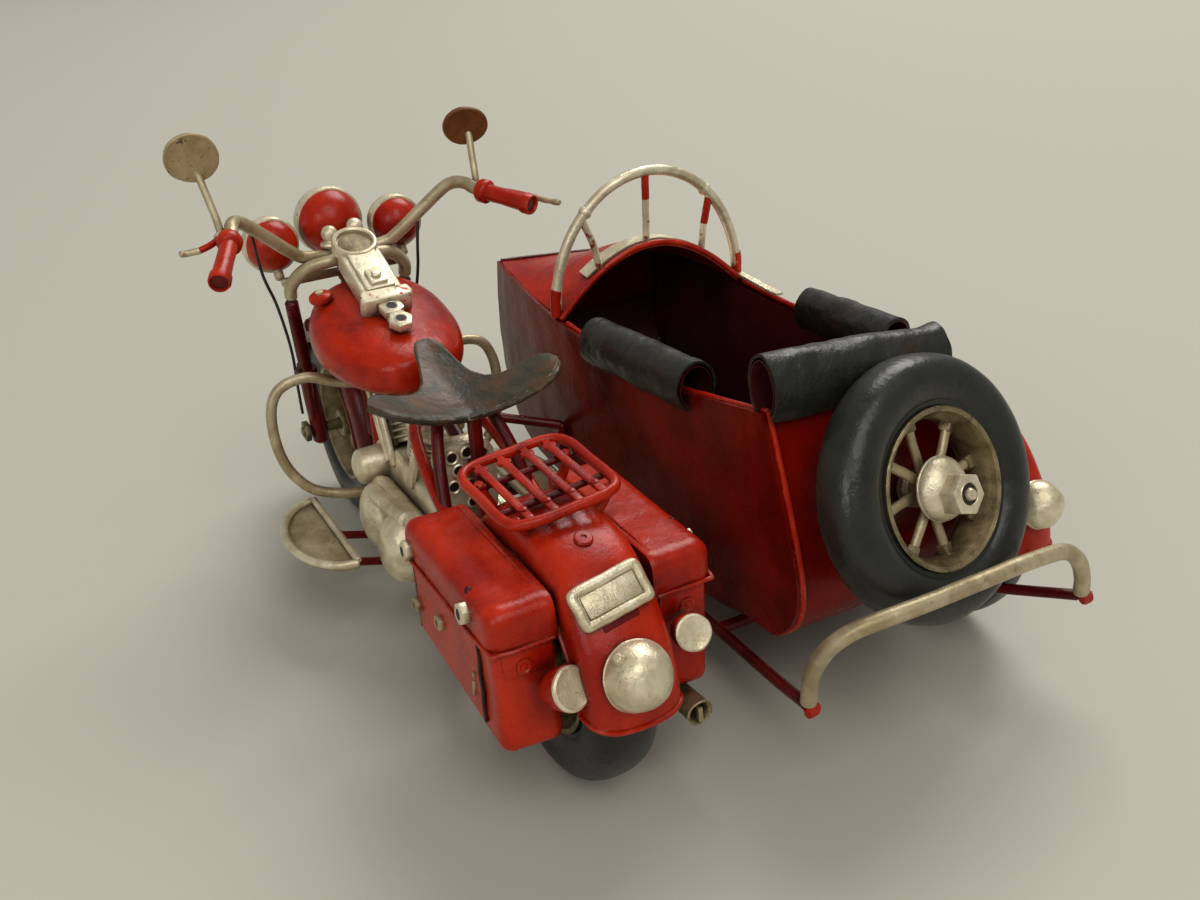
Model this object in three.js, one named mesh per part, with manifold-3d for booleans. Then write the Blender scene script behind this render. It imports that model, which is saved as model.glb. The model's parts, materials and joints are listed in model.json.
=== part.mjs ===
// Tin motorcycle with sidecar: a hand-made sheet-metal model, soldered and bolted from small pieces.
// Millimetres. +X is forward, +Y is left, +Z is up. The model is laid out from the rear wheel's
// contact point, then the whole group is moved so that its origin is the middle of its footprint.

import * as THREE from 'three';
import { mergeVertices } from 'three/addons/utils/BufferGeometryUtils.js';
import Module from 'manifold-3d';

// ---------------------------------------------------------------- driving dimensions

const GAP = 0.3;                 // clearance between touching pieces
const WHEEL_RADIUS = 25.5;
const TYRE_WIDTH = 13.5;
const TYRE_BORE = 15;            // inner radius of the rubber ring
const RIM_DEPTH = 1.9;
const RIM_WIDTH = 8.8;
const HUB_RADIUS = 3.6;
const HUB_WIDTH = 11;
const SPOKES = 8;
const AXLE_RADIUS = 1.4;
const AXLE_BORE = AXLE_RADIUS + GAP;

const WHEELBASE = 121;
const REAR_HUB = [0, 0, WHEEL_RADIUS];
const FRONT_HUB = [WHEELBASE, 0, WHEEL_RADIUS];
const SIDE_HUB = [5, -98.5, WHEEL_RADIUS];

const STEER_FOOT_X = 118;        // where the steering axis passes axle height
const STEER_RAKE = THREE.MathUtils.degToRad(12);
const HEAD_TOP = 70;             // heights of the headstock's ends
const HEAD_BOTTOM = 58.8;
const YOKE_Z = 56.5;             // lower yoke, between the headstock and the front mudguard

const FENDER_RADIUS = 29.3;      // crown of every mudguard, from its wheel's centre
const FENDER_SHEET = 0.8;

const TUBE = 1.5;                // radius of the frame tubes
const RAIL_Y = 6.3;              // half distance between the cradle rails
const CRADLE_Z = 12;
const STAY_Y = 9.8;

const BAG_INNER = 11.7;          // saddlebag faces, measured from the centreline
const BAG_OUTER = 22.6;
const BAG_LID_Z = 41;
const BAG_TOP = 47.6;

const HULL_Y = -63.7;            // sidecar centreline
const HULL_HALF = 25.5;
const HULL_SHEET = 1.2;
const HULL_REAR_LEAN = 0.18;     // how far the rear panel leans, per unit of height
const COCKPIT_FRONT = 75;
const ARCH_RISE = 13.7;

const SPARE_HUB = [-23.2, HULL_Y - 0.9, 50];
const SPARE_TILT = THREE.MathUtils.degToRad(12);

// ---------------------------------------------------------------- materials

const material = (color, metalness, roughness) =>
  new THREE.MeshStandardMaterial({ color, metalness, roughness });

const RED = material(0xa81b12, 0.1, 0.38);
const DARK_RED = material(0x6e120f, 0.1, 0.45);
const SILVER = material(0xb9ad8c, 0.55, 0.42);
const BRASS = material(0x8d7650, 0.6, 0.45);
const RUBBER = material(0x2b2d2b, 0, 0.55);
const HIDE = material(0x2c2c27, 0.05, 0.5);
const CABLE = material(0x2a2422, 0.1, 0.5);

// ---------------------------------------------------------------- solids and booleans

const wasm = await Module();
wasm.setup();

function signedVolume(position, index) {
  const [a, b, c] = [new THREE.Vector3(), new THREE.Vector3(), new THREE.Vector3()];
  let sum = 0;
  for (let i = 0; i < index.length; i += 3) {
    a.fromBufferAttribute(position, index[i]);
    b.fromBufferAttribute(position, index[i + 1]);
    c.fromBufferAttribute(position, index[i + 2]);
    sum += a.dot(b.cross(c)) / 6;
  }
  return sum;
}

/** A closed three.js geometry as a manifold solid, with its faces turned outwards. */
function solid(geometry) {
  const bare = new THREE.BufferGeometry();
  bare.setAttribute('position', geometry.getAttribute('position').clone());
  if (geometry.index) bare.setIndex(geometry.index.clone());
  const merged = mergeVertices(bare, 1e-4);
  const triangles = [];
  const source = merged.index.array;
  for (let i = 0; i < source.length; i += 3) {
    const [a, b, c] = [source[i], source[i + 1], source[i + 2]];
    if (a !== b && b !== c && c !== a) triangles.push(a, b, c);
  }
  if (signedVolume(merged.getAttribute('position'), triangles) < 0) triangles.reverse();
  const vertProperties = new Float32Array(merged.getAttribute('position').array);
  const triVerts = new Uint32Array(triangles);
  return new wasm.Manifold(new wasm.Mesh({ numProp: 3, vertProperties, triVerts }));
}

function geometryOf(manifold) {
  const mesh = manifold.getMesh();
  const geometry = new THREE.BufferGeometry();
  geometry.setAttribute('position', new THREE.BufferAttribute(new Float32Array(mesh.vertProperties), 3));
  geometry.setIndex(new THREE.BufferAttribute(new Uint32Array(mesh.triVerts), 1));
  geometry.computeVertexNormals();
  return geometry;
}

const join = (...geometries) => geometryOf(geometries.map(solid).reduce((all, next) => all.add(next)));

const cut = (body, ...tools) =>
  geometryOf(tools.map(solid).reduce((rest, tool) => rest.subtract(tool), solid(body)));

/** A left-hand solid for the left side (+1), or its mirror image for the right (-1). */
const onSide = (geometry, side) => join(side > 0 ? geometry : geometry.scale(1, -1, 1));

// ---------------------------------------------------------------- basic shapes

const vec = (p) => new THREE.Vector3(...p);
const mirrored = (points) => points.map(([x, y, z]) => [x, -y, z]);

const box = (size, centre) => new THREE.BoxGeometry(...size).translate(...centre);

/** Turns a shape that stands on +Y so that it stands on the given direction, at the given place. */
function aim(geometry, direction, place) {
  const turn = new THREE.Quaternion().setFromUnitVectors(vec([0, 1, 0]), vec(direction).normalize());
  return geometry.applyQuaternion(turn).translate(...place);
}

function rod(from, to, radius, sides = 10, endRadius = radius) {
  const direction = vec(to).sub(vec(from));
  const length = direction.length();
  const geometry = new THREE.CylinderGeometry(endRadius, radius, length, sides).translate(0, length / 2, 0);
  return aim(geometry, direction.toArray(), from);
}

/** A solid of revolution: [radius, height] points, closed on the axis or on themselves. */
function spun(profile, segments = 24, phase = 0) {
  const points = profile.map(([r, h]) => new THREE.Vector2(r, h));
  return new THREE.LatheGeometry(points, segments, phase);
}

const ring = (profile, segments, phase) => spun([...profile, profile[0]], segments, phase);

const hexNut = (acrossFlats, thickness) =>
  new THREE.CylinderGeometry(acrossFlats / Math.sqrt(3), acrossFlats / Math.sqrt(3), thickness, 6);

function circle(radius, sides) {
  const shape = new THREE.Shape();
  for (let i = 0; i < sides; i += 1) {
    const angle = (2 * Math.PI * i) / sides;
    const [x, y] = [radius * Math.cos(angle), radius * Math.sin(angle)];
    if (i === 0) shape.moveTo(x, y);
    else shape.lineTo(x, y);
  }
  return shape;
}

/** A bent tube through the points, smooth as a hand-bent wire. */
function wire(points, radius, { sides = 6, steps = 2 * points.length, closed = false, pull = 0.5 } = {}) {
  const path = new THREE.CatmullRomCurve3(points.map(vec), closed, 'catmullrom', pull);
  return new THREE.ExtrudeGeometry(circle(radius, sides), { steps, extrudePath: path, bevelEnabled: false });
}

/** A flat plate or block: an outline in the XZ plane, pushed along Y from y0 to y1. */
function slab(outline, y0, y1, bevel = 0) {
  const shape = new THREE.Shape(outline.map(([x, z]) => new THREE.Vector2(x, z)));
  const depth = y1 - y0 - 2 * bevel;
  const options = { depth, bevelEnabled: bevel > 0, bevelThickness: bevel, bevelSize: bevel,
    bevelOffset: -bevel, bevelSegments: 1 };
  return new THREE.ExtrudeGeometry(shape, options).rotateX(Math.PI / 2).translate(0, y1 - bevel, 0);
}

/** Triangles that fill a flat outline, wound the same way as the outline. */
function fill(outline) {
  const flat = outline.map(([u, v]) => new THREE.Vector2(u, v));
  const winding = Math.sign(THREE.ShapeUtils.area(flat));
  return THREE.ShapeUtils.triangulateShape(flat, []).map(([a, b, c]) => {
    const same = Math.sign(THREE.ShapeUtils.area([flat[a], flat[b], flat[c]])) === winding;
    return same ? [a, b, c] : [c, b, a];
  });
}

/** A closed skin through rings of points; section is the flat outline that the end caps follow. */
function loft(rings, section = rings[0].map(([, y, z]) => [y, z])) {
  const count = rings[0].length;
  const index = [];
  for (let i = 0; i + 1 < rings.length; i += 1) {
    for (let j = 0; j < count; j += 1) {
      const k = (j + 1) % count;
      const [a, b, c, d] = [i * count + j, i * count + k, (i + 1) * count + k, (i + 1) * count + j];
      index.push(a, b, c, a, c, d);
    }
  }
  const last = (rings.length - 1) * count;
  for (const [a, b, c] of fill(section)) index.push(c, b, a, last + a, last + b, last + c);
  const geometry = new THREE.BufferGeometry();
  geometry.setAttribute('position', new THREE.Float32BufferAttribute(rings.flat(2), 3));
  geometry.setIndex(index);
  return geometry;
}

const lerp = THREE.MathUtils.lerp;

/** Reads a value between the stations of a [position, value] list. */
function along(stations, position) {
  const next = stations.findIndex(([at]) => at >= position);
  if (next <= 0) return stations[next === 0 ? 0 : stations.length - 1][1];
  const [[a, from], [b, to]] = [stations[next - 1], stations[next]];
  return lerp(from, to, (position - a) / (b - a));
}

// ---------------------------------------------------------------- wheels

/** Eight-sided rubber ring with a flat of its tread turned to the ground. */
function tyre() {
  const segments = 28;
  const spread = 1 / Math.cos(Math.PI / segments);
  const middle = (WHEEL_RADIUS + TYRE_BORE) / 2;
  const depth = (WHEEL_RADIUS - TYRE_BORE) / 2;
  const sides = 8;
  const reach = 1 / Math.cos(Math.PI / sides);
  const profile = [];
  for (let i = 0; i < sides; i += 1) {
    const angle = (2 * Math.PI * (i + 0.5)) / sides;
    const radius = middle + depth * reach * Math.cos(angle);
    profile.push([spread * radius, (TYRE_WIDTH / 2) * reach * Math.sin(angle)]);
  }
  return ring(profile, segments, Math.PI / segments);
}

/** Rim band, hub and rod spokes with square feet, soldered into one piece. */
function rim() {
  const outer = TYRE_BORE - GAP;
  const [inner, half] = [outer - RIM_DEPTH, RIM_WIDTH / 2];
  const band = ring([[inner, -half + 1], [outer, -half], [outer, half], [inner, half - 1]], 24);
  const hub = new THREE.CylinderGeometry(HUB_RADIUS, HUB_RADIUS, HUB_WIDTH, 10);
  const pieces = [band, hub];
  for (let i = 0; i < SPOKES; i += 1) {
    const angle = (2 * Math.PI * i) / SPOKES;
    const reach = (r) => [r * Math.sin(angle), 0, r * Math.cos(angle)];
    pieces.push(rod(reach(HUB_RADIUS - 1), reach(inner + 0.6), 0.85, 4));
    pieces.push(box([2.4, 2.4, 1.8], [0, 0, inner - 0.6]).rotateY(angle));
  }
  const bore = new THREE.CylinderGeometry(AXLE_BORE, AXLE_BORE, HUB_WIDTH + 2, 10);
  return cut(join(...pieces), bore);
}

/** Spindle with a hex nut at each end; half is the distance to the nuts' inner faces. */
function axle(half, nutSize) {
  const nutThickness = 1.5;
  const length = 2 * (half + nutThickness + 0.5);
  const pieces = [new THREE.CylinderGeometry(AXLE_RADIUS, AXLE_RADIUS, length, 8)];
  for (const side of [-1, 1]) {
    pieces.push(hexNut(nutSize, nutThickness).translate(0, side * (half + nutThickness / 2), 0));
  }
  return join(...pieces);
}

/** Arched mudguard about a wheel's centre, from angle `from` to `to` in degrees above forward. */
function mudguard(halfWidth, from, to, skirt) {
  const arch = [[-1, skirt], [-0.92, 3.2], [-0.62, 0.9], [0, 0], [0.62, 0.9], [0.92, 3.2], [1, skirt]];
  const outside = arch.map(([side, drop]) => [side * halfWidth, FENDER_RADIUS - drop]);
  const inside = outside.map(([y, r]) => [y * (1 - FENDER_SHEET / halfWidth), r - FENDER_SHEET]);
  inside[0][1] = FENDER_RADIUS - skirt;
  inside[inside.length - 1][1] = FENDER_RADIUS - skirt;
  const section = [...outside, ...inside.reverse()];
  const steps = Math.round((to - from) / 11);
  const rings = [];
  for (let i = 0; i <= steps; i += 1) {
    const angle = THREE.MathUtils.degToRad(lerp(from, to, i / steps));
    rings.push(section.map(([y, r]) => [r * Math.cos(angle), y, r * Math.sin(angle)]));
  }
  return loft(rings, section);
}

/** A lamp dome of the given radius on a short collar, standing on +Y from its base. */
function dome(radius, height, collar, collarRadius) {
  const profile = [[0, 0], [collarRadius, 0], [collarRadius, collar]];
  const steps = 5;
  for (let i = 0; i <= steps; i += 1) {
    const angle = (Math.PI / 2) * (i / steps);
    profile.push([radius * Math.cos(angle), collar + height * Math.sin(angle)]);
  }
  profile[profile.length - 1][0] = 0;
  return spun(profile, 16);
}

// ---------------------------------------------------------------- motorcycle: frame and engine

const steerX = (z) => STEER_FOOT_X - (z - WHEEL_RADIUS) * Math.tan(STEER_RAKE);
const steerPoint = (z, y = 0, ahead = 0) => [steerX(z) + ahead, y, z];

function frame() {
  const bothSides = (points, radius, steps) =>
    [wire(points, radius, { steps }), wire(mirrored(points), radius, { steps })];
  const headstock = rod(steerPoint(HEAD_BOTTOM), steerPoint(HEAD_TOP), 3, 12);
  const backbone = wire([[109.5, 0, 61.5], [102, 0, 55.6], [84, 0, 54.4], [62, 0, 53.4], [48, 0, 50], [37, 0, 44]],
    TUBE, { steps: 9 });
  const cradle = bothSides([[109.8, 1.2, 59.5], [95, 3.4, 48.5], [87.5, 5.2, 32], [84.5, RAIL_Y, 16],
    [79, RAIL_Y, CRADLE_Z], [55, RAIL_Y, CRADLE_Z], [32, RAIL_Y + 0.9, CRADLE_Z + 0.6],
    [15, STAY_Y - 0.6, 17], [3.6, STAY_Y - 1, WHEEL_RADIUS - 1.6]], TUBE, 14);
  const seatStays = bothSides([[3.4, STAY_Y - 0.9, WHEEL_RADIUS + 1.8], [28, STAY_Y, 39], [52, 7.6, 50.4],
    [60, 0, 53.2]], 1.2, 6);
  const seatPost = rod([37, 0, CRADLE_Z], [37, 0, 58.2], 1.4, 8);
  const crossbars = [79, 37].map((x) => rod([x, -RAIL_Y, CRADLE_Z], [x, RAIL_Y, CRADLE_Z], 1.2, 6));
  const footboardRods = [66, 80].flatMap((x) => [1, -1].map((side) =>
    rod([x, side * RAIL_Y, CRADLE_Z + 0.3], [x, side * 24, 17.6], 0.9, 6)));
  const dropouts = [1, -1].map((side) =>
    rod([0, side * (STAY_Y - 1.6), WHEEL_RADIUS], [0, side * (STAY_Y - 0.4), WHEEL_RADIUS], 4.4, 10));
  const body = join(headstock, backbone, ...cradle, ...seatStays, seatPost, ...crossbars, ...footboardRods,
    ...dropouts);
  const stemBore = rod(steerPoint(HEAD_BOTTOM - 3), steerPoint(HEAD_TOP + 3), 1.3 + GAP, 10);
  const axleHole = rod([0, -20, WHEEL_RADIUS], [0, 20, WHEEL_RADIUS], AXLE_BORE, 12);
  return cut(body, stemBore, axleHole);
}

/** The tank's plump outer form, swollen all round by `grow`. */
function tankForm(grow) {
  const stations = [
    [64.5, 2.5, 2, 57.4], [66, 6.5, 4, 57.4], [70, 10.8, 5.6, 57.4], [76, 14.2, 6.8, 57.8], [84, 16.2, 8, 58.6],
    [93, 16.2, 9, 59.8], [100, 14, 9, 60.6], [105, 10.6, 7, 61.4], [108, 6, 4.4, 62], [109, 2.6, 2, 62.2]];
  const squareness = 2 / 2.5;
  const sides = 16;
  return loft(stations.map(([x, halfWidth, halfHeight, z]) => {
    const points = [];
    for (let i = 0; i < sides; i += 1) {
      const angle = (2 * Math.PI * i) / sides;
      const bulge = (value, reach) => (reach + grow) * Math.sign(value) * Math.abs(value) ** squareness;
      points.push([x, bulge(Math.cos(angle), halfWidth), z + bulge(Math.sin(angle), halfHeight)]);
    }
    return points;
  }));
}

/** Tank with a filler cap on its left shoulder and channels for the frame tubes below. */
function fuelTank() {
  const neck = rod([95.5, 11, 64], [95.8, 11.3, 70.4], 2.3, 10);
  const cap = join(neck, rod([95.8, 11.3, 70], [95.9, 11.4, 71.4], 2.8, 10));
  const channel = slab([[60, 40], [60, 56.2], [84, 57.2], [103, 58.4], [112, 66], [112, 40]], -2.1, 2.1);
  const forkRoom = slab([[91, 40], [91, 48.6], [102, 57.4], [112, 65], [112, 40]], -5.6, 5.6);
  const headRoom = rod(steerPoint(50), steerPoint(80), 3.9, 12);
  return cut(join(tankForm(0), cap), channel, forkRoom, headRoom);
}

/** Instrument panel on the tank: raised block, round dial, flared tail and its two fixing nuts. */
function dashConsole() {
  const slope = Math.atan2(8.2, 20.6);
  const place = (geometry, x, lift) =>
    geometry.rotateY(-slope).translate(x, 0, 68.4 + (x - 84) * Math.tan(slope) + lift);
  const disc = (radius, thickness, x, lift) =>
    place(new THREE.CylinderGeometry(radius, radius, thickness, 16).rotateX(Math.PI / 2), x, lift);
  const plate = place(slab([[-10.5, -3.4], [-10.5, 1.6], [8, 1.6], [8, -2.2]], -4.8, 4.8, 0.6), 94, 0);
  const raised = place(slab([[-5, 0], [-5, 2.4], [3, 2.4], [3, 0]], -2.6, 2.6, 0.4), 93.5, 0);
  const flare = place(slab([[-1.6, -2.4], [-1.6, 2.6], [1.6, 2.2], [1.6, -2.4]], -6, 6, 0.5), 84.6, 0);
  const nut = (x, lift) => place(hexNut(5, 2).rotateX(Math.PI / 2), x, lift);
  const tongue = place(box([13, 3.4, 1.2], [0, 0, 0]), 79.6, -0.8);
  const body = join(plate, raised, flare, disc(5.3, 2, 103.2, 0.9), tongue, nut(81.2, 0), nut(75.9, 0.4));
  const rimmed = cut(body, disc(4.2, 1.2, 103.2, 2));
  return cut(rimmed, tankForm(GAP));
}

/** Sheet saddle: narrow nose, wide swept-up wings and a dipped rear edge. */
function saddle() {
  const sheet = 1.3;
  const halfWidth = [[0, 19.4], [0.1, 20], [0.25, 17], [0.4, 12], [0.55, 7.6], [0.75, 4.6], [0.95, 3.2], [1, 1.6]];
  const lengthSteps = 7;
  const sideSteps = 8;
  const top = [];
  for (let i = 0; i <= lengthSteps; i += 1) {
    const t = i / lengthSteps;
    for (let j = 0; j <= sideSteps; j += 1) {
      const s = (2 * j) / sideSteps - 1;
      const y = s * along(halfWidth, t);
      const x = lerp(34.5 + 2.2 * (1 - s * s), 61.8, t);
      const z = 59.6 + 7.2 * (Math.abs(y) / 20) ** 1.7 + 7.4 * t ** 2.2;
      top.push([x, y, z]);
    }
  }
  const bottom = top.map(([x, y, z]) => [x, y, z - sheet]);
  const row = sideSteps + 1;
  const index = [];
  const quad = (a, b, c, d) => index.push(a, b, c, a, c, d);
  const lower = top.length;
  for (let i = 0; i < lengthSteps; i += 1) {
    for (let j = 0; j < sideSteps; j += 1) {
      const a = i * row + j;
      quad(a, a + row, a + row + 1, a + 1);
      quad(lower + a, lower + a + 1, lower + a + row + 1, lower + a + row);
    }
  }
  for (let i = 0; i < lengthSteps; i += 1) {
    const [a, b] = [i * row, i * row + sideSteps];
    quad(a, lower + a, lower + a + row, a + row);
    quad(b, b + row, lower + b + row, lower + b);
  }
  for (let j = 0; j < sideSteps; j += 1) {
    const [a, b] = [j, lengthSteps * row + j];
    quad(a, a + 1, lower + a + 1, lower + a);
    quad(b, lower + b, lower + b + 1, b + 1);
  }
  const geometry = new THREE.BufferGeometry();
  geometry.setAttribute('position', new THREE.Float32BufferAttribute([...top, ...bottom].flat(), 3));
  geometry.setIndex(index);
  return geometry;
}

const CRANK = [70, 0, 27];
const CYLINDER_LEAN = THREE.MathUtils.degToRad(25);
const CYLINDER_FOOT = 12.4;      // from the crank's centre to the cylinders' seats

function crankcase() {
  const across = (x, z, radius, from, to) => rod([x, from, z], [x, to, z], radius, 16);
  const pieces = [
    across(CRANK[0], CRANK[2], 11.3, -7.4, 7.4),
    across(48, 25.5, 8.6, -7.4, 7.4),
    slab([[48, 17.2], [48, 33.8], [66, 37], [70, 15.9]], -6.8, 6.8),
    across(72, 29, 7.4, -11.2, 0),
    across(76, 36.5, 3.2, -9.6, -6.3),
    across(81.2, 35.6, 4.4, 6.3, 12.6),
  ];
  for (const side of [1, -1]) {
    const axis = [Math.sin(side * CYLINDER_LEAN), 0, Math.cos(side * CYLINDER_LEAN)];
    const at = (reach) => [CRANK[0] + reach * axis[0], 0, CRANK[2] + reach * axis[2]];
    pieces.push(rod(at(6), at(CYLINDER_FOOT - GAP), 5.4, 12));
  }
  return join(...pieces);
}

/** Finned barrel and head with a rocker box, leaning forward (+1) or back (-1). */
function cylinder(side) {
  const profile = [[0, 0], [4.6, 0]];
  const fins = 4;
  for (let i = 0; i < fins; i += 1) {
    const z = 0.9 + i * 1.9;
    profile.push([4.4, z], [5.9, z], [5.9, z + 0.9], [4.4, z + 0.9]);
  }
  profile.push([5.2, 8.8], [5.2, 10.4], [0, 10.4]);
  const axis = [Math.sin(side * CYLINDER_LEAN), 0, Math.cos(side * CYLINDER_LEAN)];
  const place = [CRANK[0] + CYLINDER_FOOT * axis[0], 0, CRANK[2] + CYLINDER_FOOT * axis[2]];
  const rocker = new THREE.BoxGeometry(5.6, 3.2, 12.4).translate(0, 10.2, 0);
  return aim(join(spun(profile, 10), rocker), axis, place);
}

/** Long oval chain cover with a second raised oval on its rear half. */
function primaryCover() {
  const oval = (xa, za, xb, zb, ra, rb) => {
    const outline = [];
    const steps = 9;
    const heading = Math.atan2(za - zb, xa - xb);
    for (let i = 0; i <= steps; i += 1) {
      const angle = heading - Math.PI / 2 + (Math.PI * i) / steps;
      outline.push([xa + ra * Math.cos(angle), za + ra * Math.sin(angle)]);
    }
    for (let i = 0; i <= steps; i += 1) {
      const angle = heading + Math.PI / 2 + (Math.PI * i) / steps;
      outline.push([xb + rb * Math.cos(angle), zb + rb * Math.sin(angle)]);
    }
    return outline;
  };
  const main = slab(oval(71, 27, 50, 25.5, 8.6, 8.2), 7.7, 13.2, 1.6);
  const raised = slab(oval(60, 25.5, 49, 24.5, 5.6, 6.2), 11, 16.2, 1.6);
  return join(main, raised);
}

/** Drilled cover plate on the oil tank under the saddle. */
function perforatedPlate() {
  const outline = [[40, 31.6], [40, 41.8], [43, 43.4], [52, 44.8], [52, 35.4], [47, 34.9], [43.5, 33.8]];
  const plate = slab(outline, -5.4, 5.4, 0.5);
  const holes = [[3.2, 39.8], [-3.2, 39.8], [0, 37.2], [3.2, 34.6], [-3.2, 34.6]].map(([y, z]) =>
    rod([38, y, z], [42.5, y, z], 0.9, 6));
  return cut(plate, ...holes);
}

/** Right-hand exhaust: two head pipes into one long tail pipe, open at the rear. */
function exhaustPipe() {
  const outer = wire([[81, -7.2, 43.4], [84, -9.6, 37], [82, -13, 26.4], [72, -14.4, 20.6], [52, -14.4, 19.4],
    [30, -14.7, 17.2], [0, -15, 15.9], [-24.5, -15.4, 15.6]], 2.4, { sides: 8, steps: 18 });
  const mouth = rod([-27, -15.43, 15.57], [-12, -15.2, 15.75], 1.7, 8);
  return cut(outer, mouth);
}

/** D-shaped tray with a raised rim: straight side inboard. */
function footboard(side) {
  const outline = (inset) => {
    const points = [];
    const steps = 12;
    for (let i = 0; i <= steps; i += 1) {
      const angle = (Math.PI * i) / steps;
      points.push(new THREE.Vector2(75.5 + (17.6 - inset) * Math.cos(angle),
        side * (21.3 + inset + (12.2 - 2 * inset) * Math.sin(angle))));
    }
    return new THREE.Shape(points);
  };
  const plate = (inset, z, depth) =>
    new THREE.ExtrudeGeometry(outline(inset), { depth, bevelEnabled: false }).translate(0, 0, z);
  return cut(plate(0, 18.9, 2.6), plate(1.1, 19.9, 3));
}

/** One-piece engine guard: a loop each side, joined behind the steering head. */
function crashBar() {
  const left = [[87.9, 8.6, 21.4], [89, 15.5, 22.2], [90.4, 23, 25.4], [91.8, 27.4, 33], [93, 28.2, 43],
    [93.4, 25.6, 49.8], [93.2, 19, 51.6], [92, 12.4, 49.4], [91, 7, 48.3]];
  const right = mirrored(left).reverse();
  return wire([...left, [90.6, 0, 48.2], ...right], 1.1, { steps: 30 });
}

const TAIL_ANGLE = 159;

/** A direction out from the rear wheel's centre, in degrees above forward. */
function outward(degrees, distance, hub = REAR_HUB) {
  const angle = THREE.MathUtils.degToRad(degrees);
  return [hub[0] + distance * Math.cos(angle), hub[1], hub[2] + distance * Math.sin(angle)];
}

function radial(geometry, degrees, distance, hub = REAR_HUB) {
  const angle = THREE.MathUtils.degToRad(degrees);
  return aim(geometry, [Math.cos(angle), 0, Math.sin(angle)], outward(degrees, distance, hub));
}

function luggageRack() {
  const z = 57.6;
  const [rear, front, half] = [-3.8, 21.4, 11.3];
  const corner = 3;
  const outline = [[rear + corner, half], [front - corner, half], [front, half - corner], [front, corner - half],
    [front - corner, -half], [rear + corner, -half], [rear, corner - half], [rear, half - corner]];
  const rail = wire(outline.map(([x, y]) => [x, y, z]), 0.95, { steps: 20, closed: true, pull: 0.35 });
  const bars = [-7.8, -2.7, 2.4, 7.4].map((y) => box([front - rear, 1.9, 1.1], [(front + rear) / 2, y, z]));
  const wires = [3.4, 14.6].map((x) => rod([x, -half, z - 1.1], [x, half, z - 1.1], 0.7, 4));
  const posts = [1, -1].flatMap((side) => [-1.5, 14.6].map((x) => {
    const foot = x < 0 ? 53.4 : 50.6;
    return rod([x, side * 9.4, z], [x, side * 6.4, foot], 0.9, 5);
  }));
  return join(rail, ...bars, ...wires, ...posts);
}

const BAG_OUTLINE = { rearX: -15.6, frontX: 23.4, rearZ: 18.8, frontZ: 24.5 };

function saddlebag(side) {
  const { rearX, frontX, rearZ, frontZ } = BAG_OUTLINE;
  const top = BAG_LID_Z - GAP;
  const outline = [[rearX + 1, rearZ], [rearX, rearZ + 3], [rearX, top], [frontX, top], [frontX, frontZ + 4],
    [frontX - 4, frontZ - 0.8]];
  const body = slab(outline, BAG_INNER, BAG_OUTER, 0.7);
  return onSide(body, side);
}

function bagLid(side) {
  const { rearX, frontX } = BAG_OUTLINE;
  const outline = [[rearX - 0.4, BAG_LID_Z], [rearX - 0.4, BAG_TOP - 2.4], [rearX + 1.4, BAG_TOP],
    [frontX - 1.6, BAG_TOP], [frontX + 0.4, BAG_TOP - 2.4], [frontX + 0.4, BAG_LID_Z]];
  const lid = slab(outline, BAG_INNER, BAG_OUTER + 0.5, 1.2);
  const trimmed = cut(lid, box([60, 30, 3], [5, 15, BAG_LID_Z - 1.4]));
  return onSide(trimmed, side);
}

/** Shallow blank tray on the mudguard, above the tail lamp. */
function numberPlate() {
  const tray = box([16.4, 1.4, 8.8], [0, 0, 0]);
  const recess = box([13.8, 1.4, 6.4], [0, 0.9, 0]);
  const foot = box([8, 1.6, 2], [0, -1.2, -3]);
  const turned = cut(join(tray, foot), recess).rotateZ(Math.PI / 2).rotateY(THREE.MathUtils.degToRad(38));
  return turned.translate(-23.2, 0, 47.9);
}

/** Cup-shaped turn signal with a flat disc facing the rear. */
function turnSignal(side) {
  const cup = rod([-17, side * 12.6, 35.6], [-22.6, side * 12.9, 36.2], 2.4, 14, 3.5);
  const face = rod([-22.4, side * 12.9, 36.2], [-23.6, side * 12.95, 36.3], 3.8, 14);
  return join(cup, face);
}

// ---------------------------------------------------------------- motorcycle: steering

const LEG_TOP_Z = 62.4;
const LEG_TOP_Y = 14.5;
const LEG_FOOT_Y = 10.9;

/** Bent crown tube across both legs, with the steering stem and the lower yoke. */
function forkCrown() {
  const half = [[...steerPoint(LEG_TOP_Z + GAP + 1.6, LEG_TOP_Y, 3)], [...steerPoint(68, LEG_TOP_Y - 0.4, 2.2)],
    [...steerPoint(71.8, 10.6, 0.8)], [...steerPoint(72.9, 5, 0)]];
  const crown = wire([...half, steerPoint(73.1), ...mirrored(half).reverse()], TUBE, { steps: 20 });
  const stem = rod(steerPoint(YOKE_Z - 1), steerPoint(73), 1.3, 10);
  const yoke = rod(steerPoint(YOKE_Z, -12, 1.6), steerPoint(YOKE_Z, 12, 1.6), 1.6, 10);
  return join(crown, stem, yoke);
}

function forkLeg(side) {
  const top = [steerX(LEG_TOP_Z) + 3, side * LEG_TOP_Y, LEG_TOP_Z + 1.2];
  const foot = [WHEELBASE, side * LEG_FOOT_Y, 22];
  const at = (t) => top.map((value, i) => lerp(value, foot[i], t));
  const leg = rod(top, at(0.98), 1.6, 12);
  const slider = rod(at(0.5), foot, 2, 12);
  const yokeRoom = rod(steerPoint(YOKE_Z, -12.5, 1.6), steerPoint(YOKE_Z, 12.5, 1.6), 1.6 + GAP, 10);
  const axleHole = rod([WHEELBASE, -20, WHEEL_RADIUS], [WHEELBASE, 20, WHEEL_RADIUS], AXLE_BORE, 10);
  return cut(join(leg, slider), yokeRoom, axleHole);
}

const GRIP_FRONT = [95, 29.2, 86.8];
const GRIP_REAR = [81.2, 35.9, 82.9];

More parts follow.
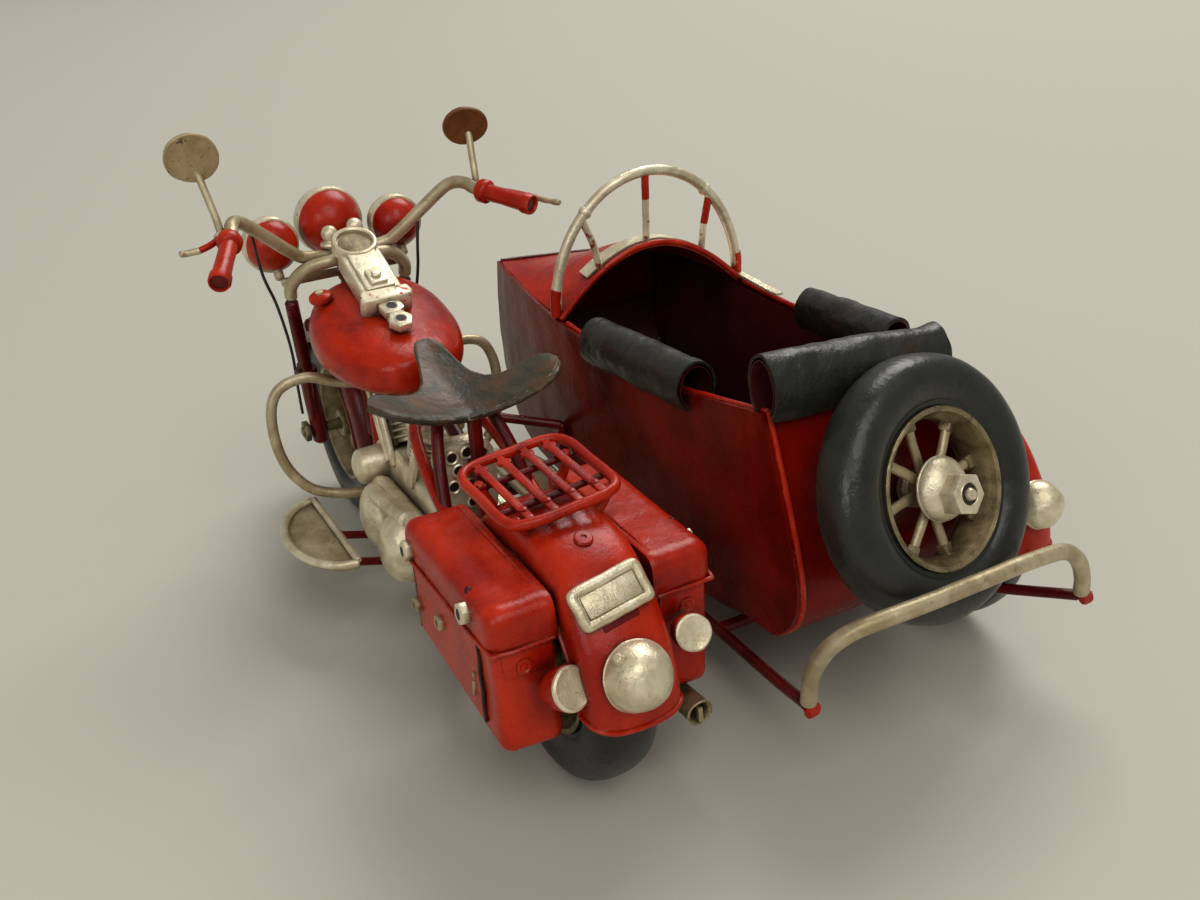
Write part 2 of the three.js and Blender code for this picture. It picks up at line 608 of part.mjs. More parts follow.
function handlebar() {
  const left = [[110.8, 9.4, 74], [109.4, 13.4, 76.4], [105.4, 22.6, 85], [103.2, 25.8, 87.4], [99.4, 27.8, 87.8],
    GRIP_FRONT, GRIP_REAR];
  const bar = wire([...left].reverse().concat([[111.2, 0, 73.4]], mirrored(left)), 1.35, { steps: 30 });
  const posts = [3, -3].flatMap((y) =>
    [rod([111.2, y, 71.6], [111.2, y, 78.6], 1.7, 10), rod([111.2, y, 76], [111.2, y, 77], 2.4, 10)]);
  return join(bar, ...posts);
}

function grip(side) {
  const [front, rear] = [GRIP_FRONT, GRIP_REAR].map(([x, y, z]) => [x, side * y, z]);
  const direction = vec(rear).sub(vec(front));
  const length = direction.length();
  const bore = 1.35 + GAP;
  const profile = [[bore, 0.6], [3, 0.6], [3, 2.6], [2.4, 3], [2.3, length - 1.4], [2.7, length - 1],
    [2.6, length + 0.6], [bore, length + 0.6]];
  return aim(ring(profile, 14), direction.toArray(), front);
}

/** Bent wire lever ahead of a grip. */
function lever(side) {
  const reach = side > 0
    ? [[99.6, 31.4, 84.6], [98.6, 33.8, 83.4], [94, 36.6, 83.2], [88.5, 40, 82.6]]
    : [[99.6, 31.4, 84.9], [97.2, 34, 84], [89, 38.4, 82.9], [78.6, 41.6, 82.4]];
  return wire(reach.map(([x, y, z]) => [x, side * y, z]), 0.7, { sides: 6, steps: 7 });
}

function mirror(side) {
  const centre = [103.6, side * 32.2, 101.8];
  const tilt = THREE.MathUtils.degToRad(-18);
  const facing = [-Math.cos(tilt), side * 0.12, Math.sin(tilt)];
  const disc = aim(new THREE.CylinderGeometry(5.8, 5.8, 0.9, 20), facing, centre);
  const stalk = wire([[99.8, side * 30.2, 90], [102, side * 31, 93.4], [105, side * 32.1, 98]], 0.8, { steps: 6 });
  return join(disc, stalk);
}

/** Bowl-shaped lamp facing forward: radius of the rim, place of the rim's back face. */
function lampBowl(radius, place) {
  const profile = [];
  const steps = 5;
  for (let i = 0; i <= steps; i += 1) {
    const angle = (Math.PI / 2) * (i / steps);
    profile.push([radius * Math.sin(angle), -radius * Math.cos(angle)]);
  }
  profile[0][0] = 0;
  profile.push([radius + 0.5, 0], [radius + 0.5, 1.8], [radius - 0.6, 2.2], [radius * 0.5, 3.2], [0, 3.6]);
  return aim(spun(profile, 16), [1, 0, 0], place);
}

const AUX_Y = 15.7;

/** Centre headlamp with the bar that carries all three lamps. */
function headlamp() {
  const bar = rod([114.4, -AUX_Y, 67.9], [114.4, AUX_Y, 67.9], 1, 8);
  const post = rod([114.4, 0, 67.6], [119, 0, 73], 1.5, 8);
  return join(lampBowl(7.9, [122, 0, 78.6]), bar, post);
}

const auxLamp = (side) => lampBowl(6.3, [118.8, side * AUX_Y, 76.3]);

function brakeCable(side) {
  const route = [[105, 25.2, 82.8], [110.5, 21.6, 70], [116.6, 17.6, 55.6], [120, 15.4, 42], [121, 14.6, 30.6]];
  return wire(route.map(([x, y, z]) => [x, side * y, z]), 0.45, { steps: 8 });
}

// ---------------------------------------------------------------- sidecar

const sideTop = [[-9, 66.5], [5, 63.6], [20, 60.6], [38, 58.2], [60, 57.9], [75, 58.4], [90, 60], [113, 62.4]];
const hullBottom = [[-9, 24.2], [-2, 20.6], [6, 18.2], [16, 17.4], [62, 17.2], [80, 19.6], [96, 26], [107, 32.5],
  [113, 37.5]];
const hullHalf = [[-9, HULL_HALF], [80, HULL_HALF], [96, 24.9], [107, 24.2], [113, 23.3]];
const archRise = [[COCKPIT_FRONT - 0.6, 0], [COCKPIT_FRONT, ARCH_RISE], [90, 9.4], [102, 4.4], [113, 0.6]];

/** Cross-section of the hull at one station, shrunk inwards by the given amount. */
function hullRing(x, inset) {
  const half = along(hullHalf, x) - inset;
  const low = along(hullBottom, x) + inset;
  const high = along(sideTop, x) - inset;
  const rise = x < COCKPIT_FRONT - 0.6 ? 0 : along(archRise, x);
  const corner = 3;
  const section = [[-half, high], [-half, low + corner], [-half + corner, low], [half - corner, low],
    [half, low + corner], [half, high]];
  const archSteps = 8;
  for (let i = 1; i < archSteps; i += 1) {
    const s = 1 - (2 * i) / archSteps;
    section.push([s * half, high + rise * (1 - s * s)]);
  }
  const lean = HULL_REAR_LEAN * Math.max(0, 1 - (x + 9) / 30);
  return section.map(([y, z]) => [x - lean * (along(sideTop, x) - z), HULL_Y + y, z]);
}

function sidecarHull() {
  const stations = [-9, 5, 20, 38, 60, COCKPIT_FRONT - 0.6, COCKPIT_FRONT, 90, 102, 110, 113];
  const outer = loft(stations.map((x) => hullRing(x, 0)));
  const innerStations = stations.map((x) => THREE.MathUtils.clamp(x, -9 + HULL_SHEET, 113 - HULL_SHEET));
  const inner = loft(innerStations.map((x) => hullRing(x, HULL_SHEET)));
  const half = HULL_HALF - HULL_SHEET;
  const lid = slab([[-9 + HULL_SHEET, 59], [-9 + HULL_SHEET, 90], [COCKPIT_FRONT - 0.2, 90], [COCKPIT_FRONT - 0.2, 55],
    [20, 52], [-9.6, 54]], HULL_Y - half, HULL_Y + half);
  return cut(outer, inner, lid);
}

/** Half-round windscreen frame on the cowl's edge, with three props and an arched trim. */
function windscreenHoop() {
  const x = COCKPIT_FRONT + 1.6;
  const [footZ, half, height] = [61.4, 24.2, 27.8];
  const points = [[x, HULL_Y + half, footZ - 0.6]];
  const steps = 12;
  for (let i = 0; i <= steps; i += 1) {
    const angle = (Math.PI * i) / steps;
    points.push([x, HULL_Y + half * Math.cos(angle), footZ + height * Math.sin(angle)]);
  }
  points.push([x, HULL_Y - half, footZ - 0.6]);
  const hoop = wire(points, 1.25, { steps: 18 });
  const trimHeight = (s) => footZ + 0.4 + (ARCH_RISE - 0.6) * (1 - s * s);
  const trim = [];
  for (let i = 0; i <= steps; i += 1) {
    const s = 1 - (2 * i) / steps;
    trim.push([x, HULL_Y + s * half, trimHeight(s)]);
  }
  const props = [[16.4, 13.4], [0, 0], [-16.4, -13.4]].map(([upper, lower]) => rod(
    [x, HULL_Y + lower, trimHeight(lower / half)],
    [x, HULL_Y + upper, footZ + height * Math.sqrt(1 - (upper / half) ** 2)], 0.8, 6));
  return join(hoop, wire(trim, 0.7, { steps: 14 }), ...props);
}

/** Rolled hide over a side wall's top edge: an open tube, slit below for the wall. */
function armPad(side, rearX, frontX) {
  const wallY = HULL_Y + side * (HULL_HALF - HULL_SHEET / 2);
  const zAt = (x) => along(sideTop, x) - 0.6;
  const [rear, front] = [[rearX, wallY, zAt(rearX)], [frontX, wallY, zAt(frontX)]];
  const roll = rod(rear, front, 3.8, 14);
  const stretch = (from, to) => to.map((value, i) => value + (value - from[i]) * 0.1);
  const hollow = rod(stretch(front, rear), stretch(rear, front), 3, 14);
  const slit = slab([[rearX - 5, zAt(rearX) - 9], [rearX - 5, zAt(rearX) + 0.4], [frontX + 5, zAt(frontX) + 0.4],
    [frontX + 5, zAt(frontX) - 9]], wallY - 0.6 - GAP, wallY + 0.6 + GAP);
  return cut(roll, hollow, slit);
}

/** Rolled backrest across the rear panel's top edge, open at both ends. */
function backrest() {
  const [x, z] = [-8.1, 65.4];
  const outline = (inset) => {
    const points = [];
    const steps = 16;
    for (let i = 0; i < steps; i += 1) {
      const angle = (2 * Math.PI * i) / steps;
      points.push([x + (3.8 - inset) * Math.cos(angle), z + (6 - inset) * Math.sin(angle)]);
    }
    return points;
  };
  const half = HULL_HALF - HULL_SHEET - 0.6;
  const roll = slab(outline(0), HULL_Y - half, HULL_Y + half);
  const hollow = slab(outline(0.8), HULL_Y - half - 2, HULL_Y + half + 2);
  const panelX = (height) => -9 - HULL_REAR_LEAN * (66.5 - height);
  const slit = slab([[panelX(50) - GAP, 50], [panelX(67) - GAP, 67], [panelX(67) + HULL_SHEET + GAP, 67],
    [panelX(50) + HULL_SHEET + GAP, 50]], HULL_Y - half - 2, HULL_Y + half + 2);
  return cut(roll, hollow, slit);
}

const seat = () => slab([[-3, 30.5], [-1, 37], [30, 38.4], [33, 36.6], [33, 31], [30, 30]],
  HULL_Y - HULL_HALF + 3.4, HULL_Y + HULL_HALF - 3.4, 1.4);

/** Tube chassis under the hull, with the side wheel's stub axle and the links to the motorcycle. */
function sidecarChassis() {
  const [left, right, low] = [-36.4, -86.6, 12.6];
  const railLeft = wire([[86, left, low], [40, left, low], [-10, left, low], [-29, -35.6, 13.4]], 1.2, { steps: 7 });
  const railRight = wire([[84, right, low], [40, right, low], [2, right, low], [-13, -88.4, 15], [-31.4, -95.8, 18.8]], 1.2,
    { steps: 10 });
  const crossFront = rod([84, -RAIL_Y - TUBE - GAP, low], [84, right, low], 1.3, 10);
  const crossRear = rod([36, -RAIL_Y - TUBE - GAP - 0.5, low - 0.6], [36, right, low - 0.6], 1.3, 10);
  const post = rod([74, left, low], [74, left, 32.5], 1.1, 8);
  const link = rod([74, left, 32], [89, -7.6, 38.4], 1.1, 8);
  const [hubX, hubY, hubZ] = SIDE_HUB;
  const crossAxle = rod([hubX, left, low], [hubX, -90.6, low], 1.3, 10);
  const bracket = box([5.4, 1.2, 17.4], [hubX, -90.5, low + 6.9]);
  const stub = rod([hubX, -90.2, hubZ], [hubX, hubY - 8.4, hubZ], AXLE_RADIUS, 12);
  const nut = hexNut(4.6, 1.6).translate(hubX, hubY - 7, hubZ);
  return join(railLeft, railRight, crossFront, crossRear, post, link, crossAxle, bracket, stub, nut);
}

/** Bumper tube with both ends bent down to the chassis rails. */
function rearBumper() {
  const points = [[-31.2, -35.4, 15.8], [-33, -35.6, 21], [-35.6, -36.4, 27], [-36.4, -38.6, 30], [-36.5, -44, 30.4],
    [-36.5, -66, 30.1], [-36.5, -88, 29.8], [-36.3, -93.6, 29.4], [-35.4, -95.8, 26.8], [-33.4, -96.4, 21.4]];
  return wire(points, 1.55, { steps: 18 });
}

/** A wheel-shaped solid on the spare's tilted stud. */
function onSpareStud(geometry) {
  const facing = [-Math.cos(SPARE_TILT), 0, Math.sin(SPARE_TILT)];
  return aim(geometry, facing, SPARE_HUB);
}

/** Domed hub cap under the hex nut and threaded stud that hold the spare. */
const spareHubNut = () => join(
  spun([[0, 5.9], [4.8, 5.9], [4.8, 6.6], [4.2, 8.2], [2.6, 9.3], [0, 9.6]], 20),
  hexNut(7, 3.2).translate(0, 11, 0), rod([0, 7, 0], [0, 14, 0], 1.9, 10),
  rod([0, -10.6, 0], [0, 8, 0], AXLE_RADIUS, 8));

// ---------------------------------------------------------------- assembly

const toy = new THREE.Group();

function add(name, geometry, finish, place = [0, 0, 0]) {
  const mesh = new THREE.Mesh(geometry, finish);
  mesh.name = name;
  mesh.position.set(...place);
  toy.add(mesh);
}

const SIDES = [['left', 1], ['right', -1]];

function buildMotorcycle() {
  add('frame', frame(), RED);
  add('fuel_tank', fuelTank(), RED);
  add('dash_console', dashConsole(), SILVER);
  add('saddle', saddle(), HIDE);
  add('crankcase', crankcase(), SILVER);
  add('cylinder_front', cylinder(1), SILVER);
  add('cylinder_rear', cylinder(-1), SILVER);
  add('primary_cover', primaryCover(), SILVER);
  add('perforated_plate', perforatedPlate(), SILVER);
  add('exhaust_pipe', exhaustPipe(), BRASS);
  add('crash_bar', crashBar(), SILVER);
  add('rear_fender', mudguard(8.7, 38, 187, 7.4), RED, REAR_HUB);
  add('luggage_rack', luggageRack(), RED);
  add('tail_lamp', radial(dome(6.1, 6, 2.6, 5.2), TAIL_ANGLE, FENDER_RADIUS + GAP), SILVER);
  add('number_plate', numberPlate(), SILVER);
  add('rear_tyre', tyre(), RUBBER, REAR_HUB);
  add('rear_rim', rim(), BRASS, REAR_HUB);
  add('rear_axle', axle(STAY_Y - 0.1, 4.4), BRASS, REAR_HUB);
  for (const [word, side] of SIDES) {
    add(`footboard_${word}`, footboard(side), SILVER);
    add(`saddlebag_${word}`, saddlebag(side), RED);
    add(`bag_lid_${word}`, bagLid(side), RED);
    add(`turn_signal_${word}`, turnSignal(side), RED);
  }
}

function buildSteering() {
  add('fork_crown', forkCrown(), SILVER);
  add('handlebar', handlebar(), SILVER);
  add('headlamp', headlamp(), RED);
  add('front_fender', mudguard(8.2, 16, 192, 6.6), DARK_RED, FRONT_HUB);
  add('front_axle', axle(13.6, 4.8), BRASS, FRONT_HUB);
  add('front_tyre', tyre(), RUBBER, FRONT_HUB);
  add('front_rim', rim(), BRASS, FRONT_HUB);
  for (const [word, side] of SIDES) {
    add(`fork_leg_${word}`, forkLeg(side), DARK_RED);
    add(`grip_${word}`, grip(side), RED);
    add(`lever_${word}`, lever(side), SILVER);
    add(`mirror_${word}`, mirror(side), SILVER);
    add(`aux_lamp_${word}`, auxLamp(side), RED);
    add(`brake_cable_${word}`, brakeCable(side), CABLE);
  }
}

function buildSidecar() {
  add('sidecar_hull', sidecarHull(), RED);
  add('windscreen_hoop', windscreenHoop(), SILVER);
  add('arm_pad_left', armPad(1, 22, 60), HIDE);
  add('arm_pad_right', armPad(-1, 12, 50), HIDE);
  add('backrest', backrest(), HIDE);
  add('sidecar_seat', seat(), HIDE);
  add('sidecar_chassis', sidecarChassis(), RED);
  add('rear_bumper', rearBumper(), SILVER);
  add('sidecar_tyre', tyre(), RUBBER, SIDE_HUB);
  add('sidecar_rim', rim(), BRASS, SIDE_HUB);
  add('sidecar_fender', mudguard(8, 12, 169, 6.4), RED, SIDE_HUB);
  add('sidecar_lamp', radial(dome(3.9, 4, 1.2, 3.4), 158, FENDER_RADIUS + GAP, SIDE_HUB), SILVER);
  add('spare_tyre', onSpareStud(tyre()), RUBBER);
  add('spare_rim', onSpareStud(rim()), BRASS);
  add('spare_hub_nut', onSpareStud(spareHubNut()), SILVER);
}

buildMotorcycle();
buildSteering();
buildSidecar();

const bounds = new THREE.Box3().setFromObject(toy);
const centre = bounds.getCenter(new THREE.Vector3());
toy.position.set(-centre.x, -centre.y, -bounds.min.z);

const root = new THREE.Group();
root.add(toy);

export default root;
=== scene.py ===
"""Tin motorcycle with sidecar: the detailed visible model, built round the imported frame.

Shapes are written in millimetres from the rear wheel's contact point (+X forward, +Y left, +Z up)
and placed in the row frame, in metres, when each piece is made.
"""
import json
import math

import bmesh
import bpy
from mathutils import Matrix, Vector, noise


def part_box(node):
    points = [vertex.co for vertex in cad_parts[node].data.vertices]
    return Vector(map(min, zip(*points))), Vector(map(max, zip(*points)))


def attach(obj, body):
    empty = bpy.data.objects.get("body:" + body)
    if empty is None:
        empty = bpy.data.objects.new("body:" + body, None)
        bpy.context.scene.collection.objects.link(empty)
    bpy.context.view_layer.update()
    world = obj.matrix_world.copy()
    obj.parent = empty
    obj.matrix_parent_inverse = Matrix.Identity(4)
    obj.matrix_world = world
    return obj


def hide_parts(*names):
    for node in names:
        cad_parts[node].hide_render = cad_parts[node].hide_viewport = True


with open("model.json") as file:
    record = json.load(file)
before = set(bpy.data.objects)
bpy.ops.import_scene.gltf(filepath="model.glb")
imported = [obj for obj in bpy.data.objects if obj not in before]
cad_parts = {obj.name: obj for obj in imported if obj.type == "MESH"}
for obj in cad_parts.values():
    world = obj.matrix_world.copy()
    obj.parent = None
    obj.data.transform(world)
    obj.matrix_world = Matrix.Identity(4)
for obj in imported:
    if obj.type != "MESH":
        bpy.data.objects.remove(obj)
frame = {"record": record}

# Blender takes the noise seed from the clock, so it is fixed here: the dents are the same each run.
noise.seed_set(7)

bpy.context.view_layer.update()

MM = 0.001
UP = Vector((0, 0, 1))
WHEEL_R = 25.5
rear_low, rear_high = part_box("rear_tyre")
ORIGIN = (Vector(rear_low) + Vector(rear_high)) / 2 - Vector((0, 0, WHEEL_R)) * MM
BODY_OF = {n: body for body, nodes in frame["record"]["behaviour"]["bodies"].items() for n in nodes}

# ---------------------------------------------------------------- finishes


def node(tree, kind, inputs=None, **props):
    made = tree.nodes.new(kind)
    for name, value in props.items():
        setattr(made, name, value)
    for key, value in (inputs or {}).items():
        socket = made.inputs[key]
        if isinstance(value, bpy.types.NodeSocket):
            tree.links.new(value, socket)
        else:
            socket.default_value = value
    return made


def ramp(tree, value, low, high, to_low=0.0, to_high=1.0):
    """Maps value from low..high to to_low..to_high, held at the ends."""
    inputs = {0: value, 1: low, 2: high, 3: to_low, 4: to_high}
    return node(tree, "ShaderNodeMapRange", inputs, clamp=True).outputs[0]


def times(tree, a, b):
    return node(tree, "ShaderNodeMath", {0: a, 1: b}, operation="MULTIPLY").outputs[0]


def mix(tree, factor, a, b):
    inputs = {0: factor, 6: a if isinstance(a, bpy.types.NodeSocket) else (*a, 1),
              7: b if isinstance(b, bpy.types.NodeSocket) else (*b, 1)}
    return node(tree, "ShaderNodeMix", inputs, data_type="RGBA").outputs[2]


def finish(name, light, dark, grime_and_shade, wear, metal=0.0, rough=(0.3, 0.5), patch=70, worn=0.5, hollow_patina_and_shade=0.8,
           grain=(2600, 0.12), dents=0.25, coat=0.0, gloss=0.5, second=None):
    """A hand-painted surface: patchy colour, crevices darkened by patina and painted shade, rubbed edges,
    specks and brushed grain.

    patch is the patch scale per metre; gloss is the specular level; worn says how much of the edges is
    rubbed, and dirt how far the hollows darken, as patina on the silvers and brass and as painted shade on
    the reds; second is an extra (colour, scale, from, to) layer of patches.
    """
    made = bpy.data.materials.new(name)
    made.use_nodes = True
    tree = made.node_tree
    tree.nodes.clear()
    place = node(tree, "ShaderNodeTexCoord").outputs["Object"]

    def cloud(scale, detail=4.0, roughness=0.6, distortion=0.0):
        inputs = {"Vector": place, "Scale": scale, "Detail": detail, "Roughness": roughness,
                  "Distortion": distortion}
        return node(tree, "ShaderNodeTexNoise", inputs).outputs[0]

    base = mix(tree, ramp(tree, cloud(patch, distortion=0.6), 0.36, 0.66), dark, light)
    if second:
        colour, scale, start, end = second
        base = mix(tree, ramp(tree, cloud(scale, 6.0, 0.65, 0.8), start, end), base, colour)
    specks = ramp(tree, cloud(1500, 2.0), 0.66, 0.72, 0.0, 0.55)
    base = mix(tree, specks, base, grime_and_shade)
    # Hollows that ambient occlusion finds darken towards the grime colour, in blotches: patina on the silvers
    # and brass, painted shade on the reds.
    hollow = node(tree, "ShaderNodeAmbientOcclusion", {"Distance": 0.0032}, samples=6).outputs["AO"]
    blotch = ramp(tree, cloud(260), 0.3, 0.7, 0.55, 1.0)
    base = mix(tree, times(tree, ramp(tree, hollow, 0.35, 0.85, hollow_patina_and_shade, 0.0), blotch), base, grime_and_shade)
    geometry = node(tree, "ShaderNodeNewGeometry")
    soft = node(tree, "ShaderNodeBevel", {"Radius": 0.00042}, samples=4).outputs[0]
    dot = node(tree, "ShaderNodeVectorMath", {0: soft, 1: geometry.outputs["Normal"]},
               operation="DOT_PRODUCT")
    edge = ramp(tree, dot.outputs["Value"], 0.90, 0.985, 1.0, 0.0)
    rubbed = times(tree, edge, ramp(tree, cloud(520, 5.0, 0.7), 0.52, 0.66, 0.0, worn))
    base = mix(tree, rubbed, base, wear)
    chips = ramp(tree, cloud(900, 3.0), 0.735, 0.75, 0.0, worn * 0.7)
    base = mix(tree, chips, base, wear)
    roughness = ramp(tree, cloud(190, 5.0), 0.3, 0.7, *rough)
    fine = node(tree, "ShaderNodeBump", {"Height": cloud(grain[0], 3.0), "Strength": grain[1],
                                         "Distance": 0.0002})
    broad = node(tree, "ShaderNodeBump", {"Height": cloud(240, 3.0), "Strength": dents, "Distance": 0.0008,
                                          "Normal": fine.outputs[0]})
    shader = node(tree, "ShaderNodeBsdfPrincipled", {"Base Color": base, "Metallic": metal,
                                                     "Roughness": roughness,
                                                     "Normal": broad.outputs[0], "Coat Weight": coat,
                                                     "Coat Roughness": 0.25, "Specular IOR Level": gloss})
    output = node(tree, "ShaderNodeOutputMaterial", {"Surface": shader.outputs[0]})
    output.is_active_output = True
    return made


SILVER_LIGHT, SILVER_DARK = (0.90, 0.82, 0.60), (0.60, 0.51, 0.33)
# BROWN darkens the silvers' specks, and their hollows as patina; BLACK darkens the reds' specks, and their
# hollows as painted shade.
BROWN, BLACK = (0.10, 0.06, 0.025), (0.010, 0.003, 0.002)
RED = finish("red_enamel", (0.53, 0.024, 0.003), (0.31, 0.007, 0.001), BLACK, (0.5, 0.27, 0.14),
             rough=(0.22, 0.34),
             worn=0.4, hollow_patina_and_shade=0.95, gloss=0.26, second=((0.13, 0.002, 0.001), 55, 0.56, 0.78))
CRIMSON = finish("dark_red_enamel", (0.17, 0.005, 0.004), (0.06, 0.002, 0.0015), BLACK, (0.35, 0.2, 0.12),
                 rough=(0.24, 0.38), worn=0.35, hollow_patina_and_shade=0.95, gloss=0.25)
# A darker copy of the red for the hull's walls and under-panel: partly the hull's own darker paint, partly
# painted shade. Its large near-black patches are painted shade in the middle of the walls.
SHADED_HULL_RED = finish("shaded_red_enamel", (0.25, 0.005, 0.001), (0.09, 0.0015, 0.0005), BLACK,
                  (0.45, 0.12, 0.07),
                  rough=(0.22, 0.34), patch=26, worn=0.35, hollow_patina_and_shade=0.95, gloss=0.13, dents=0.18,
                  second=((0.03, 0.001, 0.0006), 22, 0.50, 0.70))
# Near-black crimson for the insides of the hull and of the rolled pads: painted shade over the red paint
# there.
SHADED_INSIDE = finish("crimson_inside_shade", (0.06, 0.002, 0.0015), (0.018, 0.001, 0.0008), BLACK, (0.2, 0.02, 0.015),
                rough=(0.35, 0.6), patch=30, worn=0.2)
SILVER = finish("worn_silver", SILVER_LIGHT, SILVER_DARK, BROWN, (0.92, 0.86, 0.68), metal=0.5,
                rough=(0.26, 0.42),
                patch=160, worn=0.7, grain=(3200, 0.35), dents=0.4,
                second=((0.33, 0.25, 0.13), 330, 0.62, 0.78))
FLECKED = finish("red_flecked_silver", SILVER_LIGHT, SILVER_DARK, BROWN, (0.8, 0.72, 0.55), metal=0.4,
                 rough=(0.32, 0.5), patch=160, worn=0.6, grain=(3200, 0.3), dents=0.35,
                 second=((0.34, 0.015, 0.01), 420, 0.56, 0.6))
TUBE_SILVER = finish("aged_tube_silver", (0.60, 0.51, 0.33), (0.36, 0.28, 0.15), BROWN, (0.82, 0.75, 0.56),
                     metal=0.5,
                     rough=(0.3, 0.5), patch=120, worn=0.8, grain=(3200, 0.3), dents=0.3,
                     second=((0.2, 0.13, 0.06), 260, 0.62, 0.76))
BRASS = finish("aged_brass", (0.30, 0.235, 0.12), (0.11, 0.08, 0.035), (0.03, 0.02, 0.01), (0.7, 0.62, 0.44),
               metal=0.45,
               rough=(0.32, 0.5), patch=200, worn=0.85, grain=(3000, 0.3), dents=0.3)
TARNISH = finish("tarnished_disc", (0.21, 0.075, 0.014), (0.12, 0.04, 0.01), (0.02, 0.01, 0.005),
                 (0.42, 0.33, 0.18),
                 metal=0.15, rough=(0.4, 0.55), patch=240, worn=0.5)
SPECKLED = finish("speckled_disc", (0.48, 0.37, 0.19), (0.34, 0.25, 0.12), BROWN, (0.6, 0.52, 0.35),
                  metal=0.2,
                  rough=(0.4, 0.55), patch=240, worn=0.4, second=((0.06, 0.04, 0.025), 700, 0.6, 0.66))
RUBBER = finish("tyre_rubber", (0.022, 0.023, 0.018), (0.010, 0.011, 0.0085), (0.004, 0.004, 0.003),
                (0.14, 0.135, 0.11), rough=(0.28, 0.44), patch=60, worn=0.35, grain=(1800, 0.15), dents=0.35,
                gloss=0.45)
HIDE = finish("dark_hide", (0.019, 0.020, 0.014), (0.009, 0.010, 0.007), (0.004, 0.003, 0.002),
              (0.17, 0.13, 0.08),
              rough=(0.30, 0.46), patch=90, worn=0.5, grain=(1300, 0.25), dents=0.6,
              second=((0.055, 0.026, 0.011), 110, 0.54, 0.74))
SADDLE_HIDE = finish("saddle_hide", (0.050, 0.042, 0.026), (0.022, 0.021, 0.014), (0.006, 0.005, 0.003),
                     (0.42, 0.35, 0.24), rough=(0.34, 0.5), patch=80, worn=1.0, grain=(1500, 0.2), dents=0.4,
                     gloss=0.35,
                     second=((0.11, 0.046, 0.014), 85, 0.46, 0.66))
CABLE = finish("cable_sleeve", (0.03, 0.026, 0.022), (0.016, 0.014, 0.012), BLACK, (0.2, 0.15, 0.1),
               rough=(0.4, 0.55), patch=200)
# Near-black for discs set in holes and open ends, and for lines along raised edges: painted shade and painted
# shadow.
HOLE_SHADE = finish("painted_hole_shade", (0.02, 0.012, 0.008), (0.008, 0.005, 0.004), BLACK, (0.05, 0.03, 0.02),
              rough=(0.5, 0.7))

# ---------------------------------------------------------------- shapes: (points, faces) in millimetres


def smooth(points, per=8, closed=False):
    """Points along the soft curve that passes through the given points."""
    pts = [Vector(p) for p in points]
    count = len(pts)
    made = []
    for i in range(count if closed else count - 1):
        b, c = pts[i], pts[(i + 1) % count]
        a = pts[i - 1] if closed or i else 2 * b - c
        d = pts[(i + 2) % count] if closed or i + 2 < count else 2 * c - b
        for k in range(per):
            t = k / per
            made.append(0.5 * (2 * b + (c - a) * t + (2 * a - 5 * b + 4 * c - d) * t * t
                               + (3 * b - a - 3 * c + d) * t ** 3))
    if not closed:
        made.append(pts[-1])
    return made


def squared_circle(power, steps):
    """Points round a circle that is squared off a little: power 2 is a true circle."""
    made = []
    for i in range(steps):
        u, v = math.cos(2 * math.pi * i / steps), math.sin(2 * math.pi * i / steps)
        made.append((math.copysign(abs(u) ** (2 / power), u), math.copysign(abs(v) ** (2 / power), v)))
    return made


def arch(radius, tall, base=0.0, steps=14, start=0.0, turn=math.pi / 2):
    """Profile points of a dome: a quarter of an ellipse from the rim up, without its crown."""
    return [(radius * math.cos(start + turn * k / steps), base + tall * math.sin(start + turn * k / steps))
            for k in range(steps)]


def skin(rings, closed=False, capped=True):
    """Quads between equal rings of points, with a face over each end."""
    width = len(rings[0])
    points = [Vector(p) for ring in rings for p in ring]
    faces = []
    count = len(rings)
    for i in range(count if closed else count - 1):
        a, b = i * width, ((i + 1) % count) * width
        faces += [(a + j, a + (j + 1) % width, b + (j + 1) % width, b + j) for j in range(width)]
    if capped and not closed:
        faces += [tuple(range(width)), tuple(range((count - 1) * width, count * width))]
    return points, faces


def tube(points, radius, sides=16, closed=False, flat=1.0, per=8, up=None):
    """A bar bent through the points, with softly rounded ends. flat squeezes it across its up direction."""
    path = smooth(points, per, closed) if len(points) > 2 else [Vector(p) for p in points]
    count = len(path)
    heads = []
    for i in range(count):
        before = path[i - 1] if closed or i else path[0]
        after = path[(i + 1) % count] if closed or i + 1 < count else path[-1]
        heads.append((after - before).normalized())
    side = (Vector(up) if up else Vector((0.3, 0.2, 1))).cross(heads[0])
    if side.length < 0.1:
        side = Vector((1, 0, 0)).cross(heads[0])
    stations = [(path[i], heads[i], 1.0) for i in range(count)]
    if not closed:
        tip = 0.35 * radius
        first, last = stations[0], stations[-1]
        stations[0] = (first[0] + first[1] * tip, first[1], 1.0)
        stations[-1] = (last[0] - last[1] * tip, last[1], 1.0)
        stations = [(first[0], first[1], 0.72), *stations, (last[0], last[1], 0.72)]
    rings = []
    for at, head, grow in stations:
        side = (side - head * side.dot(head)).normalized()
        over = head.cross(side)
        ring = []
        for j in range(sides):
            angle = 2 * math.pi * j / sides
            ring.append(at + (side * math.cos(angle) + over * (flat * math.sin(angle))) * (radius * grow))
        rings.append(ring)
    return skin(rings, closed)


